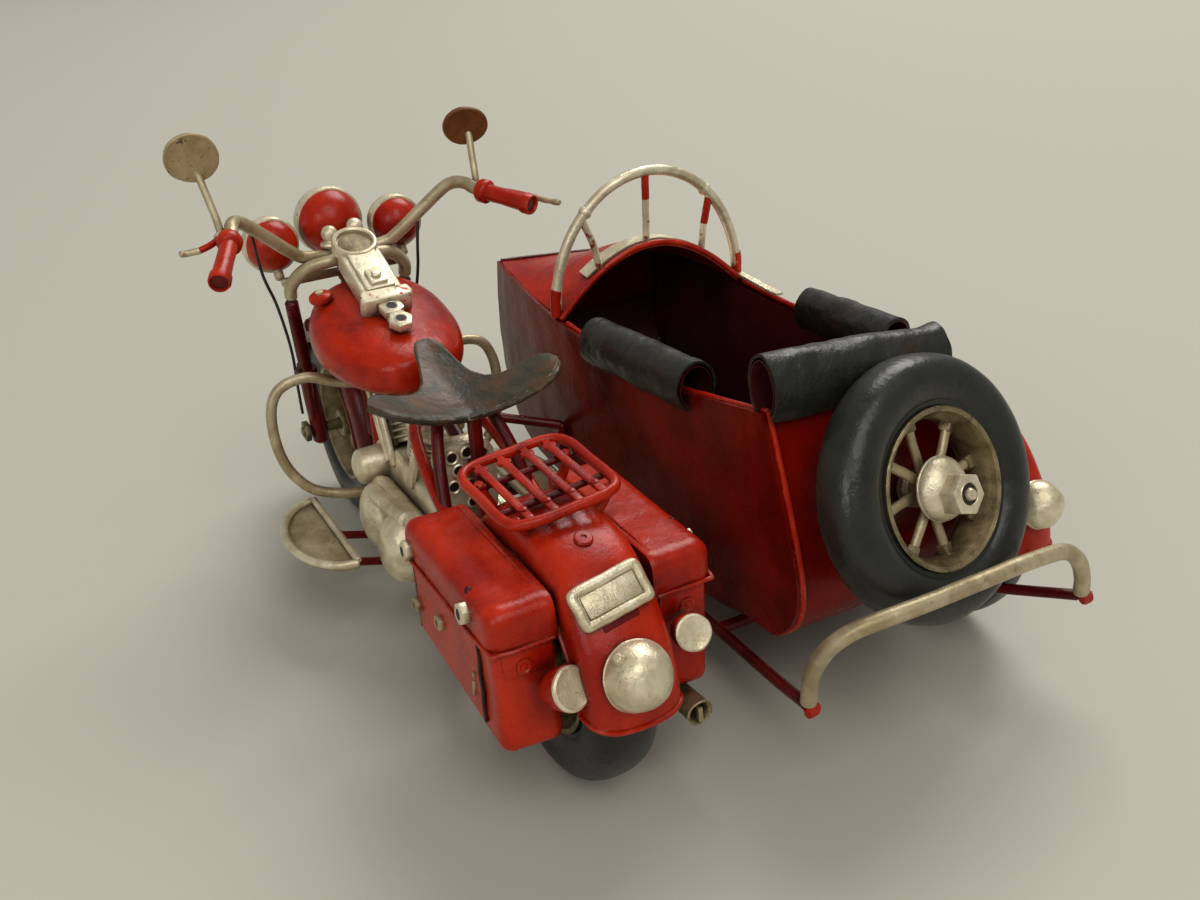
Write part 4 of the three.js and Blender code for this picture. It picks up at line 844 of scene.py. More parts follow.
# A near-black disc of painted shade inside the pipe's open end.
pipe.add(turned([(0, 0), (1.9, 0), (1.9, 0.3), (0, 0.3)], end_axis, (-12.9, -15.1, 17.2), 20), HOLE_SHADE, 0)
pipe.add(bevelled(prism([(-22.1, 16.0), (-21.7, 18.8), (-20.6, 18.6), (-20.8, 16.2)], -15.8, -14.8), 0.15, 2),
         TUBE_SILVER, 0.2)
pipe.done("exhaust_pipe")

for word, side in SIDES:
    board = Piece()
    arc = [(75.5 + x, y) for x, y in arch(16.9, 11.0, 21.9, 24, 0.0, math.pi)] + [(58.6, 21.9)]
    deck = bevelled(prism(arc, 18.9, 20.2, "z"), 0.3, 2)
    board.add(flipped(deck, side), TUBE_SILVER, 0.08, 0.15)
    board.add(flipped(tube([(x, y, 20.6) for x, y in arc[::2]], 0.95, 14, per=4), side), SILVER, 0.08, 0.2)
    board.add(flipped(tube([(92.2, 22, 20.9), (75, 21.9, 20.9), (58.8, 22, 20.9)], 0.8, 12), side), SILVER,
              0.1, 0.3)
    board.done("footboard_" + word)

bar_line = [(87.9, 8.6, 21.4), (89, 15.5, 22.2), (90.4, 23, 25.4), (91.8, 27.4, 33), (93, 28.2, 43),
            (93.4, 25.6, 49.8),
         (93.2, 19, 51.6), (92, 12.4, 49.4), (91, 7, 48.3)]
bar_line += [(90.6, 0, 48.2)] + on(-1, reversed(bar_line))
Piece().add(tube(bar_line, 1.25, 16), TUBE_SILVER, 0.1, 0.15).done("crash_bar")

# ---------------------------------------------------------------- mudguards, rack, rear lamps

FENDER_R = 29.3


def around(hub, degrees, distance):
    angle = math.radians(degrees)
    return Vector((hub[0] + distance * math.cos(angle), hub[1], hub[2] + distance * math.sin(angle)))


def make_mudguard(hub, half, start, end, skirt, paint):
    """A guard round a wheel from one angle to another; skirt is how far its sides hang down."""
    section = smooth([(-1, skirt, 0), (-0.99, 3.6, 0), (-0.88, 1.7, 0), (-0.6, 0.5, 0), (0, 0, 0),
                      (0.6, 0.5, 0),
                      (0.88, 1.7, 0), (0.99, 3.6, 0), (1, skirt, 0)], 4)
    steps = round((end - start) / 3)
    grid = []
    for i in range(steps + 1):
        degrees = lerp(start, end, i / steps)
        tail = max(0.0, 1 - min(i, steps - i) / 2.6) ** 2
        row = []
        for p in section:
            turned_in = degrees + (1 if i < steps / 2 else -1) * tail * 2.6 * abs(p.x) ** 3
            at = around(hub, turned_in, FENDER_R - p.y)
            row.append((at.x, hub[1] + p.x * half, at.z))
        grid.append(row)
    piece = Piece().add(sheet(grid, -0.75), paint, 0.16, 0.07)
    for edge in (0, -1):
        lip = [Vector(row[edge]) for row in grid[::3]] + [Vector(grid[-1][edge])]
        piece.add(tube(lip, 0.5, 8, per=3), paint, 0.04)
    for row in (grid[0], grid[-1]):
        piece.add(tube(row[::2], 0.52, 8, per=2), paint, 0.04)
    return piece


guard = make_mudguard(REAR_HUB, 8.7, 38, 178, 7.4, RED)
rivet = [(0, -0.6), (1.75, -0.6), (1.75, 0.3), (1.45, 0.6), (0.6, 0.65), (0.5, 0.35), (0, 0.35)]
rivet_at = around(REAR_HUB, 109, FENDER_R)
guard.add(turned(rivet, rivet_at - REAR_HUB, rivet_at, 28), RED)
guard.done("rear_fender")
make_mudguard(FRONT_HUB, 8.2, 16, 192, 6.6, CRIMSON).done("front_fender")
make_mudguard(SIDE_HUB, 6.0, 12, 179, 6.4, RED).done("sidecar_fender")


def make_lamp(hub, degrees, radius, height, sunk):
    """A domed lamp that stands out from a mudguard, with its foot and its direction."""
    at = around(hub, degrees, FENDER_R - sunk)
    axis = (at - hub).normalized()
    profile = [(0, 0), (radius * 0.84, 0), (radius * 0.86, 2.0), (radius, 2.3), (radius * 1.03, 2.9)]
    profile += arch(radius, height, 3.1)
    profile.append((0, 3.1 + height))
    return Piece().add(turned(profile, axis, at, 52), SILVER, 0.26, 0.22), at, axis


tail_lamp, lamp_at, lamp_axis = make_lamp(REAR_HUB + Vector((0, 0.6, 0)), 159, 6.1, 5.6, 2.4)
knob_at = lamp_at + lamp_axis * 4.2 + Vector((0.6, 3.2, 3.9))
tail_lamp.add(turned([(0, 0), (1.0, 0), (1.1, 1.0), (0.8, 1.8), (0, 2.1)], (-0.2, 0.5, 0.85), knob_at, 14),
              SILVER, 0.1, 0.5)
tail_lamp.done("tail_lamp")
make_lamp(SIDE_HUB + Vector((0, 0.4, 0)), 157, 4.8, 4.2, 0.8)[0].done("sidecar_lamp")

LIE = math.radians(38)
PLATE_AT, PLATE_ROLL = Vector((-20.6, 1.0, 48.2)), math.radians(-9)


def on_plate(p):
    """Turns a plate drawn as (across, up, out) to its place above the tail lamp."""
    out, up = Vector((-math.cos(LIE), 0, math.sin(LIE))), Vector((math.sin(LIE), 0, math.cos(LIE)))
    cos, sin = math.cos(PLATE_ROLL), math.sin(PLATE_ROLL)
    across, climb = 0.88 * (p.x * cos - p.y * sin), 0.86 * (p.x * sin + p.y * cos)
    return PLATE_AT + Vector((0, 1, 0)) * across + up * climb + out * p.z


def plate_block(low, high, round_by, steps=3):
    return moved(block(low, high, round_by, steps), on_plate)


number_plate = Piece()
number_plate.add(plate_block((-7.4, -3.6, -0.6), (7.4, 3.6, 0.2), 0.2), SILVER, 0.1, 0.3)
plate_corners = [Vector(p) for p in ((-7.2, -3.5, 0), (7.2, -3.5, 0), (7.2, 3.5, 0), (-7.2, 3.5, 0))]
plate_rim = [a.lerp(b, t) for a, b in zip(plate_corners, plate_corners[1:] + plate_corners[:1])
             for t in (0.08, 0.5, 0.92)]
number_plate.add(tube([on_plate(p) for p in plate_rim], 0.95, 14, closed=True, per=5), SILVER, 0.16, 0.3)
number_plate.add(plate_block((-6.1, -2.45, 0.1), (6.1, 2.45, 0.5), 0.2), SILVER, 0.16, 0.4)
number_plate.add(plate_block((-4, -6, -1.9), (4, -2.6, -0.7), 0.3), CRIMSON, 0.08)
number_plate.add(plate_block((-7.6, -4.2, -1.4), (7.6, 3.4, -0.7), 0.3), CRIMSON, 0.08)
number_plate.done("number_plate")

rack = Piece()
RACK_LEAN = 0.09


def on_rack(shape):
    """The rack leans a little to the left, as bent by hand."""
    return moved(shape, lambda p: (p.x, p.y, p.z - RACK_LEAN * p.y))


RACK_Z = 57.0
hoop_line = [(-1.4, 10.8), (8.4, 11.0), (17.4, 10.8), (20.6, 7.8), (20.9, 0), (20.6, -7.8), (17.4, -10.8),
             (8.4, -11.0),
           (-1.4, -10.8), (-4.6, -7.8), (-4.9, 0), (-4.6, 7.8)]
rack.add(on_rack(tube([(x, y, RACK_Z) for x, y in hoop_line], 1.0, 14, closed=True, per=6)), RED, 0.12, 0.15)
for y in (-7.3, -2.6, 2.2, 6.9):
    slat = [(-4.4, y - 0.72), (-1.4, y - 0.76), (16.6, y - 0.76), (17.2, y - 1.3), (18.2, y - 1.3),
            (18.6, y - 0.7),
             (20.6, y - 0.7), (20.6, y + 0.7), (18.6, y + 0.7), (18.2, y + 1.3), (17.2, y + 1.3),
             (16.6, y + 0.76),
             (-1.4, y + 0.76), (-4.4, y + 0.72)]
    rack.add(on_rack(bevelled(prism(slat, RACK_Z - 0.2, RACK_Z + 0.5, "z"), 0.15, 2)), RED, 0.16, 0.2)
    rack.add(on_rack(turned([(0, 0), (0.8, 0), (0.8, 0.3), (0.4, 0.5), (0, 0.55)], UP,
                            (-0.4, y, RACK_Z + 0.4), 14)), RED)
for x in (2.8, 13.8):
    rack.add(on_rack(tube([(x, -10.8, RACK_Z - 0.9), (x + 0.3, 0, RACK_Z - 1.2), (x, 10.8, RACK_Z - 0.9)],
                          0.7, 12)), CRIMSON, 0.1)
for side in (1, -1):
    for x, foot in ((-1.9, 52.6), (14.2, 50.2)):
        rack.add(tube([(x, side * 9.2, RACK_Z - side * 0.8), (x, side * 8.2, (RACK_Z + foot) / 2),
                       (x, side * 6.4, foot)], 1.0, 12), RED, 0.06)
rack.done("luggage_rack")

for word, face_at, axis, size in (("left", (-23.4, 10.9, 34.9), (-0.84, -0.28, 0.42), 1.04),
                                 ("right", (-23.4, -13.0, 37.1), (-0.86, 0.12, 0.42), 0.88)):
    signal = Piece()
    start = Vector(face_at) - Vector(axis).normalized() * 5.9
    cup = [(0, 0), (2.3, 0), (2.7, 1.2), (3.5, 3.0), (3.9, 5.6), (3.75, 5.9), (0, 5.9)]
    signal.add(turned([(r * size, h) for r, h in cup], axis, start, 32), RED, 0.1, 0.3)
    lens = [(0, 5.7), (3.55, 5.7), (3.8, 6.0), (3.75, 6.45), (3.35, 6.65), (2.9, 6.45), (0, 6.4)]
    signal.add(turned([(r * size, h) for r, h in lens], axis, start, 36), SILVER, 0.1, 0.5)
    signal.done("turn_signal_" + word)

# ---------------------------------------------------------------- saddlebags

REAR_X, FRONT_X, BAG_IN, BAG_OUT, LID_Z, LID_TOP = -16.2, 24.0, 9.4, 21.2, 41.2, 48.8


def bag_slant(p):
    """The bag's underside climbs towards the front, and its walls draw in a little at the foot."""
    drop = min(1.0, max(0.0, (LID_Z - p.z) / 22.2))
    rise = lerp(0, 5.2, (p.x - REAR_X) / (FRONT_X - REAR_X))
    return (p.x, p.y - 0.5 * drop, p.z + rise * drop)


for word, side in SIDES:
    lift = Vector((0, 0, -0.4 * side))

    def hung(shape, to=side, by=lift):
        """A shape drawn for the left bag, on its own side and a touch higher on the right."""
        return shifted(flipped(shape, to), by)

    bag = Piece()
    shell = moved(pillow((REAR_X, BAG_IN, 19.0), (FRONT_X, BAG_OUT, LID_Z + 1.2), 2.2, 1.0), bag_slant)
    bag.add(hung(shell), RED, 0.25, 0.07)
    face_y = BAG_OUT - 0.2
    rear_line = [(-9.4 + 0.25 * math.sin(k * 1.9), LID_Z + 0.8 - k * 2.05) for k in range(10)]
    front_line = [(19.9 + 0.22 * math.sin(k * 1.5), LID_Z + 0.8 - k * 1.95) for k in range(9)]
    panel = rear_line + list(reversed(front_line))
    bag.add(hung(bevelled(prism(panel, face_y - 0.9, face_y + 0.55), 0.14, 1)), RED, 0.2, 0.25)
    # Near-black lines along both edges of the raised panel: painted shadow where its edges stand off the bag.
    for line, drift in ((rear_line, -0.2), (front_line, 0.2)):
        dark = tube([(u + drift, face_y + 0.25, v) for u, v in line[1:]], 0.34, 6, per=3)
        bag.add(hung(dark), HOLE_SHADE, 0.05)
    for low, tall, lean in (((-6.6, 27.2), 3.4, 0.5), ((-7.4, 31.6), 1.2, 0.2)):
        slit = [(low[0], low[1]), (low[0] + 0.7, low[1]), (low[0] + 0.7 - lean, low[1] + tall),
                (low[0] - lean, low[1] + tall)]
        bag.add(hung(bevelled(prism(slit, face_y, face_y + 0.85), 0.15, 2)), TUBE_SILVER, 0.12, 0.5)
    for x, z in ((20.0, 31.2), (7.6, 34.2)):
        bag.nut(2.9, 1.3, (x, side * (BAG_OUT - 0.1), z), (0, side, 0), 0.75, TUBE_SILVER, 0.3 + x)
    band = [(BAG_IN + 1.2, LID_Z - 5.0), (BAG_OUT - 1.6, LID_Z - 5.2), (BAG_OUT - 1.4, LID_Z - 0.2),
            (BAG_IN + 1.2, LID_Z - 0.2)]
    strap = bevelled(prism(band, REAR_X - 0.45, REAR_X + 1, "x"), 0.2, 2)
    bag.add(hung(strap), RED, 0.15, 0.3)
    rosette = Vector((REAR_X - 0.45, side * 16.0, 37.6 - 0.4 * side))
    bag.add(turned([(0, 0), (1.4, 0), (1.5, 0.35), (1.0, 0.5), (0.7, 0.3), (0, 0.55)], (-1, 0, 0.1), rosette,
                   18), RED, 0.14, 0.7)
    bag.done("saddlebag_" + word)

    lid = Piece()
    cap_top = pillow((REAR_X - 0.5, BAG_IN - 2.5, LID_Z - 4.5), (FRONT_X + 0.4, BAG_OUT + 0.5, LID_TOP), 2.9,
                     0.9)
    cap_top = moved(cap_top, lambda p: (p.x, max(p.y, BAG_IN - 0.1), max(p.z, LID_Z)))
    cap_top = reworked(cap_top, lambda m: bmesh.ops.remove_doubles(m, verts=m.verts, dist=0.01))
    lid.add(hung(cap_top), RED, 0.24, 0.08)
    hem = [(REAR_X - 0.6, BAG_IN + 0.6), (REAR_X - 0.6, BAG_OUT - 1.6), (REAR_X + 1.8, BAG_OUT + 0.5),
           (4, BAG_OUT + 0.6),
           (FRONT_X - 1.8, BAG_OUT + 0.5), (FRONT_X + 0.5, BAG_OUT - 1.6), (FRONT_X + 0.5, BAG_IN + 0.6)]
    lid.add(hung(tube([(x, y, LID_Z + 0.3) for x, y in hem], 0.42, 8, per=8)), RED, 0.14, 0.3)
    for inset in (0.0, 1.4):
        roll = [(REAR_X + 1 + inset, BAG_IN + 0.5 + inset * 0.6, LID_TOP - 0.7 + inset * 0.35),
                (4, BAG_IN + 0.4 + inset * 0.6, LID_TOP - 0.6 + inset * 0.4),
                (FRONT_X - 1 - inset, BAG_IN + 0.5 + inset * 0.6, LID_TOP - 0.7 + inset * 0.35)]
        lid.add(hung(tube(roll, 0.42, 8, per=10)), RED, 0.14, 0.2)
    for x, z in ((-7.0, 44.6), (20.6, 43.0)):
        lid.nut(3.7, 1.7, (x, side * (BAG_OUT + 0.2), z), (0, side, 0.08), 1.05, SILVER, 0.2 + x)
    pinch = [(0, 0), (0.55, 0), (0.75, 0.25), (0.6, 0.5), (0, 0.5)]
    lid.add(shifted(turned(pinch, (0, side * 0.6, 0.8), (-5.4, side * (BAG_OUT - 1.0), LID_TOP - 0.65), 12),
                    lift), CRIMSON, 0.2, 0.9)
    lid.done("bag_lid_" + word)

# ---------------------------------------------------------------- fork, bars, lamps

crown = Piece()
crown_half = [steer(64.3, 14.5, 3), steer(68, 14.1, 2.2), steer(71.8, 10.6, 0.8), steer(72.9, 5)]
crown.add(tube([*crown_half, steer(73.1), *on(-1, reversed(crown_half))], 1.55, 18), TUBE_SILVER, 0.08, 0.2)
crown.add(tube([steer(55.5), steer(73)], 1.3, 16), BRASS, 0.02)
crown.add(tube([steer(56.5, -12, 1.6), steer(56.5, 12, 1.6)], 1.7, 16), CRIMSON, 0.05)
crown.done("fork_crown")

for word, side in SIDES:
    leg = Piece()
    top, foot = Vector((steer(62.4).x + 3, side * 14.5, 63.6)), Vector((121, side * 10.9, 22))
    leg.add(tube([top, top.lerp(foot, 0.3), top.lerp(foot, 0.6)], 1.65, 18), CRIMSON, 0.06)
    leg.add(tube([top.lerp(foot, 0.48), top.lerp(foot, 0.75), foot], 2.1, 18), CRIMSON, 0.06)
    leg.add(turned([(0, 0), (2.5, 0), (2.7, 0.4), (2.7, 1.2), (2.4, 1.6), (0, 1.6)], foot - top,
                   top.lerp(foot, 0.46), 24), CRIMSON)
    brace = [top + Vector((-1, side * 0.6, -2)), top.lerp(foot, 0.5) + Vector((-3.4, side * 0.8, 0)),
             foot + Vector((-1.2, side * 1.3, 4))]
    leg.add(tube(brace, 0.9, 12, flat=0.7), CRIMSON, 0.08)
    leg.done("fork_leg_" + word)

GRIP_ENDS = {1: (Vector((95, 29.2, 86.4)), Vector((80.4, 35.9, 82.0))),
             -1: (Vector((95, -29.2, 86.9)), Vector((82, -36.2, 85.0)))}
bar = Piece()
bar_half = [(110.8, 9.4, 74), (109.4, 13.4, 76.4), (105.4, 22.6, 85), (103.2, 25.8, 87.4), (99.4, 27.8, 87.8)]
bar_path = [*reversed(GRIP_ENDS[1]), *reversed(bar_half), (111.2, 0, 73.4), *on(-1, bar_half), *GRIP_ENDS[-1]]
bar.add(tube(bar_path, 1.5, 18), TUBE_SILVER, 0.08, 0.15)
for y in (3.0, -3.0):
    post = [(0, 0), (1.5, 0), (1.5, 4.0), (2.4, 4.2), (2.6, 4.7), (2.3, 5.2), (1.6, 5.4)]
    post += arch(2.0, 2.0, 7.1, 9, -math.pi / 4, 3 * math.pi / 4)
    post.append((0, 9.1))
    bar.add(turned(post, UP, (111.6, y * 1.05, 71.6 - 0.12 * y), 26), SILVER, 0.05, 0.3)
bar.done("handlebar")

for word, side in SIDES:
    front, rear = GRIP_ENDS[side]
    length = (rear - front).length
    profile = [(1.55, 0.4), (2.5, 0.4), (2.75, 0.8), (2.75, 2.6), (2.5, 3.0), (1.95, 3.3),
               (1.95, length * 0.5), (2.05, length - 2),
               (2.4, length - 1.6), (2.4, length + 0.2), (2.2, length + 0.7), (1.9, length + 0.7),
               (1.7, length + 0.2),
               (1.55, length - 0.4), (1.55, 0.4)]
    grip = Piece()
    grip.add(turned(profile, rear - front, front, 28), RED, 0.1, 0.3)
    plug = [(0, length - 0.6), (1.75, length - 0.6), (1.75, length + 0.15), (0, length + 0.3)]
    grip.add(turned(plug, rear - front, front, 20), CRIMSON, 0.05)
    grip.done("grip_" + word)

    lever = Piece()
    reach = ([(98.4, 30.4, 86.2), (96.6, 33.6, 85.2), (96, 36.4, 84.6), (96.6, 38.6, 84.4),
              (96.2, 40.2, 84.6)] if side > 0 else
             [(98.4, 30.6, 86), (95, 35, 85.6), (88, 39.4, 85), (82, 41.6, 84.8), (79.4, 42.4, 84.9)])
    reach = [Vector(p) for p in on(side, reach)]
    lever.add(tube([reach[0] + Vector((1, -side * 1.6, 1)), reach[0], reach[1], reach[2]], 0.95, 12,
                   flat=0.8), RED, 0.1, 0.3)
    lever.add(tube([reach[2].lerp(reach[1], 0.2), *reach[2:]], 0.75, 12), TUBE_SILVER, 0.12, 0.4)
    lever.add(turned([(0, 0), (1.5, 0), (1.7, 0.4), (1.6, 1.6), (1.0, 2.0), (0, 2.1)], (0.2, side * 0.3, 1),
                     reach[0] + Vector((0.4, -side * 0.3, -1.0)), 16), FLECKED, 0.15, 0.5)
    lever.done("lever_" + word)

    mirror = Piece()
    facing, centre, size = ((Vector((-0.95, 0.12, -0.31)), Vector((103.6, 32.7, 102.8)), 1.0) if side > 0 else
                            (Vector((-0.88, 0.24, -0.48)), Vector((103.6, -30.8, 100.2)), 0.92))
    disc = [(0, -0.5), (5.5, -0.5), (5.85, -0.2), (5.85, 0.35), (5.6, 0.6), (5.25, 0.5), (0, 0.42)]
    disc = turned([(r * size, h) for r, h in disc], facing, centre, 56)
    mirror.add(disc, SPECKLED if side > 0 else TARNISH, 0.16, 0.2)
    stalk = [(98.8, side * 30.4, 86.6), (100.2, side * 30.7, 90.4), (102.6, side * 31.3, 95),
             (104.6, side * 31.8, 98.6),
             (105.0, centre.y, centre.z - 1)]
    mirror.add(tube(stalk, 0.85, 12), TUBE_SILVER, 0.08, 0.3)
    mirror.done("mirror_" + word)

    cable = ([(106.6, 22.4, 83.6), (109.2, 20.9, 72.5), (113, 18.0, 62.8), (117, 15.6, 50), (120.4, 14.8, 38),
              (121, 14.6, 30.6)]
             if side > 0 else
             [(107.4, 18.2, 81.6), (107.8, 17.2, 74), (109.6, 17.0, 66), (115.4, 16.8, 54), (120.2, 15.4, 42),
              (121, 14.6, 30.6)])
    Piece().add(tube(on(side, cable), 0.38, 10), CABLE, 0.04).done("brake_cable_" + word)


def bowl(piece, radius, at):
    """A deep red lamp bowl with a silver rim and lens, facing forward."""
    belly = radius - 0.05
    profile = [(belly * math.sin(a), -radius * 0.98 * math.cos(a))
               for a in [math.pi / 2 * k / 16 for k in range(17)]]
    profile[0] = (0, profile[0][1])
    profile += [(belly, 0.4), (0, 0.4)]
    piece.add(turned(profile, (1, 0, 0), at, 52), RED, 0.14, 0.15)
    rim = [(radius - 0.5, -1.2), (radius + 0.25, -1.0), (radius + 0.5, -0.2), (radius + 0.6, 0.8),
           (radius + 0.4, 1.7),
           (radius - 0.6, 2.1), (radius - 0.8, 1.6), (radius - 0.8, -0.6), (radius - 0.5, -1.2)]
    piece.add(turned(rim, (1, 0, 0), at, 60), SILVER, 0.1, 0.25)
    lens = [(0, 0), (radius - 0.6, 0), (radius - 0.7, 1.6), (radius * 0.6, 2.7), (radius * 0.3, 3.2),
            (0, 3.35)]
    piece.add(turned(lens, (1, 0, 0), at, 40), SILVER, 0.08, 0.3)
    return piece


AUX_Y = 15.7
lamp = bowl(Piece(), 7.9, (122, 0, 78.6))
lamp.add(tube([(114.4, -AUX_Y, 67.9), (114.4, AUX_Y, 67.9)], 1.1, 14), TUBE_SILVER, 0.05)
lamp.add(tube([(114.4, 0, 67.6), (119, 0, 73)], 1.5, 14), TUBE_SILVER, 0.05)
lamp.done("headlamp")
for word, side in SIDES:
    lamp = bowl(Piece(), 6.3, (118.8, side * AUX_Y, 76.3))
    lamp.add(tube([(115, side * AUX_Y, 68.6), (117, side * AUX_Y, 71.2)], 1.2, 12), TUBE_SILVER, 0.03)
    lamp.done("aux_lamp_" + word)

# ---------------------------------------------------------------- sidecar hull

ARCH, COCKPIT_X, NOSE_X, TAIL_X = 13.7, 75.0, 113.0, -9.0
TAIL_LINE = [(19, -9.0), (20.6, -12.0), (22, -14.4), (24.2, -16.8), (27, -18.9), (30, -19.9), (34, -20.2),
             (40, -18.9), (47, -16.4),
             (58, -12.2), (66.5, -8.6)]
NOSE_LINE = [(28, -1.5), (34, 1.0), (42, 2.4), (52, 1.8), (62, 0)]
SIDE_TOP = [(-9, 66.5), (5, 63.6), (20, 60.6), (38, 58.2), (60, 57.9), (75, 58.4), (90, 60), (113, 62.4)]
KEEL = [(-9, 21.8), (-5.5, 21.4), (-2, 20.8), (6, 18.6), (16, 17.4), (62, 17.2), (84, 17.4), (96, 18.8),
        (104, 21.6),
        (109, 25.2), (113, 31)]
HALF = [(-9, 25.5), (76, 25.5), (90, 25.2), (100, 24.7), (107, 24.2), (113, 23.3)]
RIGHT_HALF = [(-9, 17.6), (8, 20.6), (28, 23.0), (38, 24.4), (46, 25.3), (76, 25.5), (90, 25.2), (100, 24.7),
              (107, 24.2), (113, 23.3)]
RISE = [(75, ARCH), (90, 9.4), (102, 4.0), (113, 0.2)]


def hull_edge(side, x):
    """How far the wall on one side stands from the hull's middle line, and how high it reaches."""
    if side > 0:
        return along(HALF, x), along(SIDE_TOP, x)
    return along(RIGHT_HALF, x), along(SIDE_TOP, x) - 4.6 * max(0.0, (x - 80) / 33)


def cowl_point(x, s, lift=0.0):
    """A point of the cowl's skin: s runs from the right wall at -1 to the left wall at 1."""
    left, right = hull_edge(1, x), hull_edge(-1, x)
    across = s * (left[0] if s > 0 else right[0]) * 0.985
    height = lerp(right[1], left[1], (s + 1) / 2) + along(RISE, x) * max(0.0, 1 - s * s) ** 1.05
    return Vector((x, HULL_Y + across, height + lift))


def leaned(x, z):
    """The tail panel leans back, with a round lower corner, and the nose swells a little."""
    tail = max(0.0, 1 - (x - TAIL_X) / 34) ** 1.5
    nose = max(0.0, (x - 88) / 25) ** 2
    return x + (along(TAIL_LINE, z) - TAIL_X) * tail + along(NOSE_LINE, z) * nose


hull = Piece()
X_STEPS, Z_STEPS = 90, 26
for side in (1, -1):
    wall = []
    for i in range(X_STEPS + 1):
        x = lerp(TAIL_X, NOSE_X, i / X_STEPS)
        reach, high = hull_edge(side, x)
        low = along(KEEL, x) - 0.6
        line = []
        for k in range(Z_STEPS + 1):
            z = lerp(low, high, k / Z_STEPS)
            bulge = 0.35 * math.sin(math.pi * k / Z_STEPS) * math.sin(math.pi * i / X_STEPS)
            line.append((leaned(x, z), HULL_Y + side * (reach + bulge - 0.3), z))
        wall.append(line)
    # The walls take the darker red, with its painted shade.
    hull.add(sheet(wall, side * 0.95), SHADED_HULL_RED, 0.35, 0.035)
    top_edge, foot_edge = [line[-1] for line in wall[:X_STEPS - 28:4]], [line[0] for line in wall[::3]]
    for rim, sink, radius, per, paint, dent in (
            (top_edge, 0, 0.62, 3, RED, 0.1), (wall[0][::2], 0, 0.6, 3, RED, 0.08),
            (foot_edge, 0.2, 0.8, 2, CRIMSON, 0.1), (wall[-1][::2], 0, 0.62, 2, CRIMSON, 0.06)):
        hull.add(tube([(x, y - side * 0.45, z - sink) for x, y, z in rim], radius, 10, per=per), paint, dent,
                 0.2)

path = [(leaned(TAIL_X, z) + 1.2, z) for z in (65.2, 60, 54, 48, 42, 37, 33, 30, 27.4, 25.2, 23.6)]
path += [(leaned(x, along(KEEL, x)) + 0.9, along(KEEL, x) + 0.5) for x in
         (-7.4, -5, -2, 2, 6, 16, 30, 46, 62, 72, 82, 90, 96, 101, 105, 108.5, 111.2)]
path += [(leaned(112.6, z), z) for z in (34, 40, 46, 54, 62.2)]
strip = smooth([(x, 0, z) for x, z in path], 5)


def strip_y(x, inset, share):
    """Across the hull, from just inside its right wall to just inside its left wall."""
    return HULL_Y + lerp(inset - hull_edge(-1, x)[0], hull_edge(1, x)[0] - inset, share)


def nose_drop(p, share):
    """The nose panel comes down towards its right corner, where the cowl is lower."""
    return 0.18 * max(0.0, p.x - 88) * (1 - share) * max(0.0, (p.z - 34) / 28)


STRIP_CELLS, SHADE_LINING_CELLS = 20, 14
TAIL_SKIPPED, NOSE_SKIPPED, HULL_MIDDLE = 4, 12, Vector((50, 0, 50))
panel = [[(p.x, strip_y(p.x, 0.9, t),
           p.z - nose_drop(p, t)) for t in (k / STRIP_CELLS for k in range(STRIP_CELLS + 1))]
         for p in strip]
hull.add(sheet(panel, 0.95), SHADED_HULL_RED, 0.3, 0.045)
hull.add(tube(panel[0][::2], 0.75, 10, per=3), RED, 0.12, 0.2)
# Thin sheets in the near-black crimson line the hull's floor and walls a little inside the shell: painted
# shade for the inside of the cockpit.
shade_floor = []
for p in strip[TAIL_SKIPPED:-NOSE_SKIPPED]:
    q = p + (HULL_MIDDLE - p).normalized() * 1.3
    shade_floor.append([(q.x, strip_y(p.x, 1.6, k / SHADE_LINING_CELLS), q.z) for k in range(SHADE_LINING_CELLS + 1)])
hull.add(sheet(shade_floor, -0.25), SHADED_INSIDE, 0.05, 0.1)
for side in (1, -1):
    shade_lining = []
    for i in range(2, X_STEPS - 2, 2):
        x = lerp(TAIL_X, NOSE_X, i / X_STEPS)
        reach, high = hull_edge(side, x)
        heights = [lerp(along(KEEL, x) + 1.6, high - 1.1, k / 12) for k in range(13)]
        shade_lining.append([(leaned(x, z), HULL_Y + side * (reach - 1.75), z) for z in heights])
    hull.add(sheet(shade_lining, side * 0.2), SHADED_INSIDE, 0.03, 0.1)

COWL_CELLS = 40
cowl = [[cowl_point(lerp(COCKPIT_X, NOSE_X, i / COWL_CELLS), 2 * k / COWL_CELLS - 1)
         for k in range(COWL_CELLS + 1)]
        for i in range(COWL_CELLS + 1)]
hull.add(sheet(cowl, 0.9), RED, 0.25, 0.05)
hull.add(tube(cowl[0][::2], 0.7, 10, per=3), RED, 0.06, 0.2)
hull.add(tube(cowl[-1][::4], 0.6, 10, per=3), CRIMSON, 0.06, 0.2)
hull.done("sidecar_hull")

hoop = Piece()
X_HOOP, FOOT_Z, HOOP_HALF, HOOP_H = 76.6, 59.4, 25.3, 29.8


def on_hoop(angle):
    return Vector((X_HOOP, HULL_Y + HOOP_HALF * math.cos(angle), FOOT_Z + HOOP_H * math.sin(angle)))


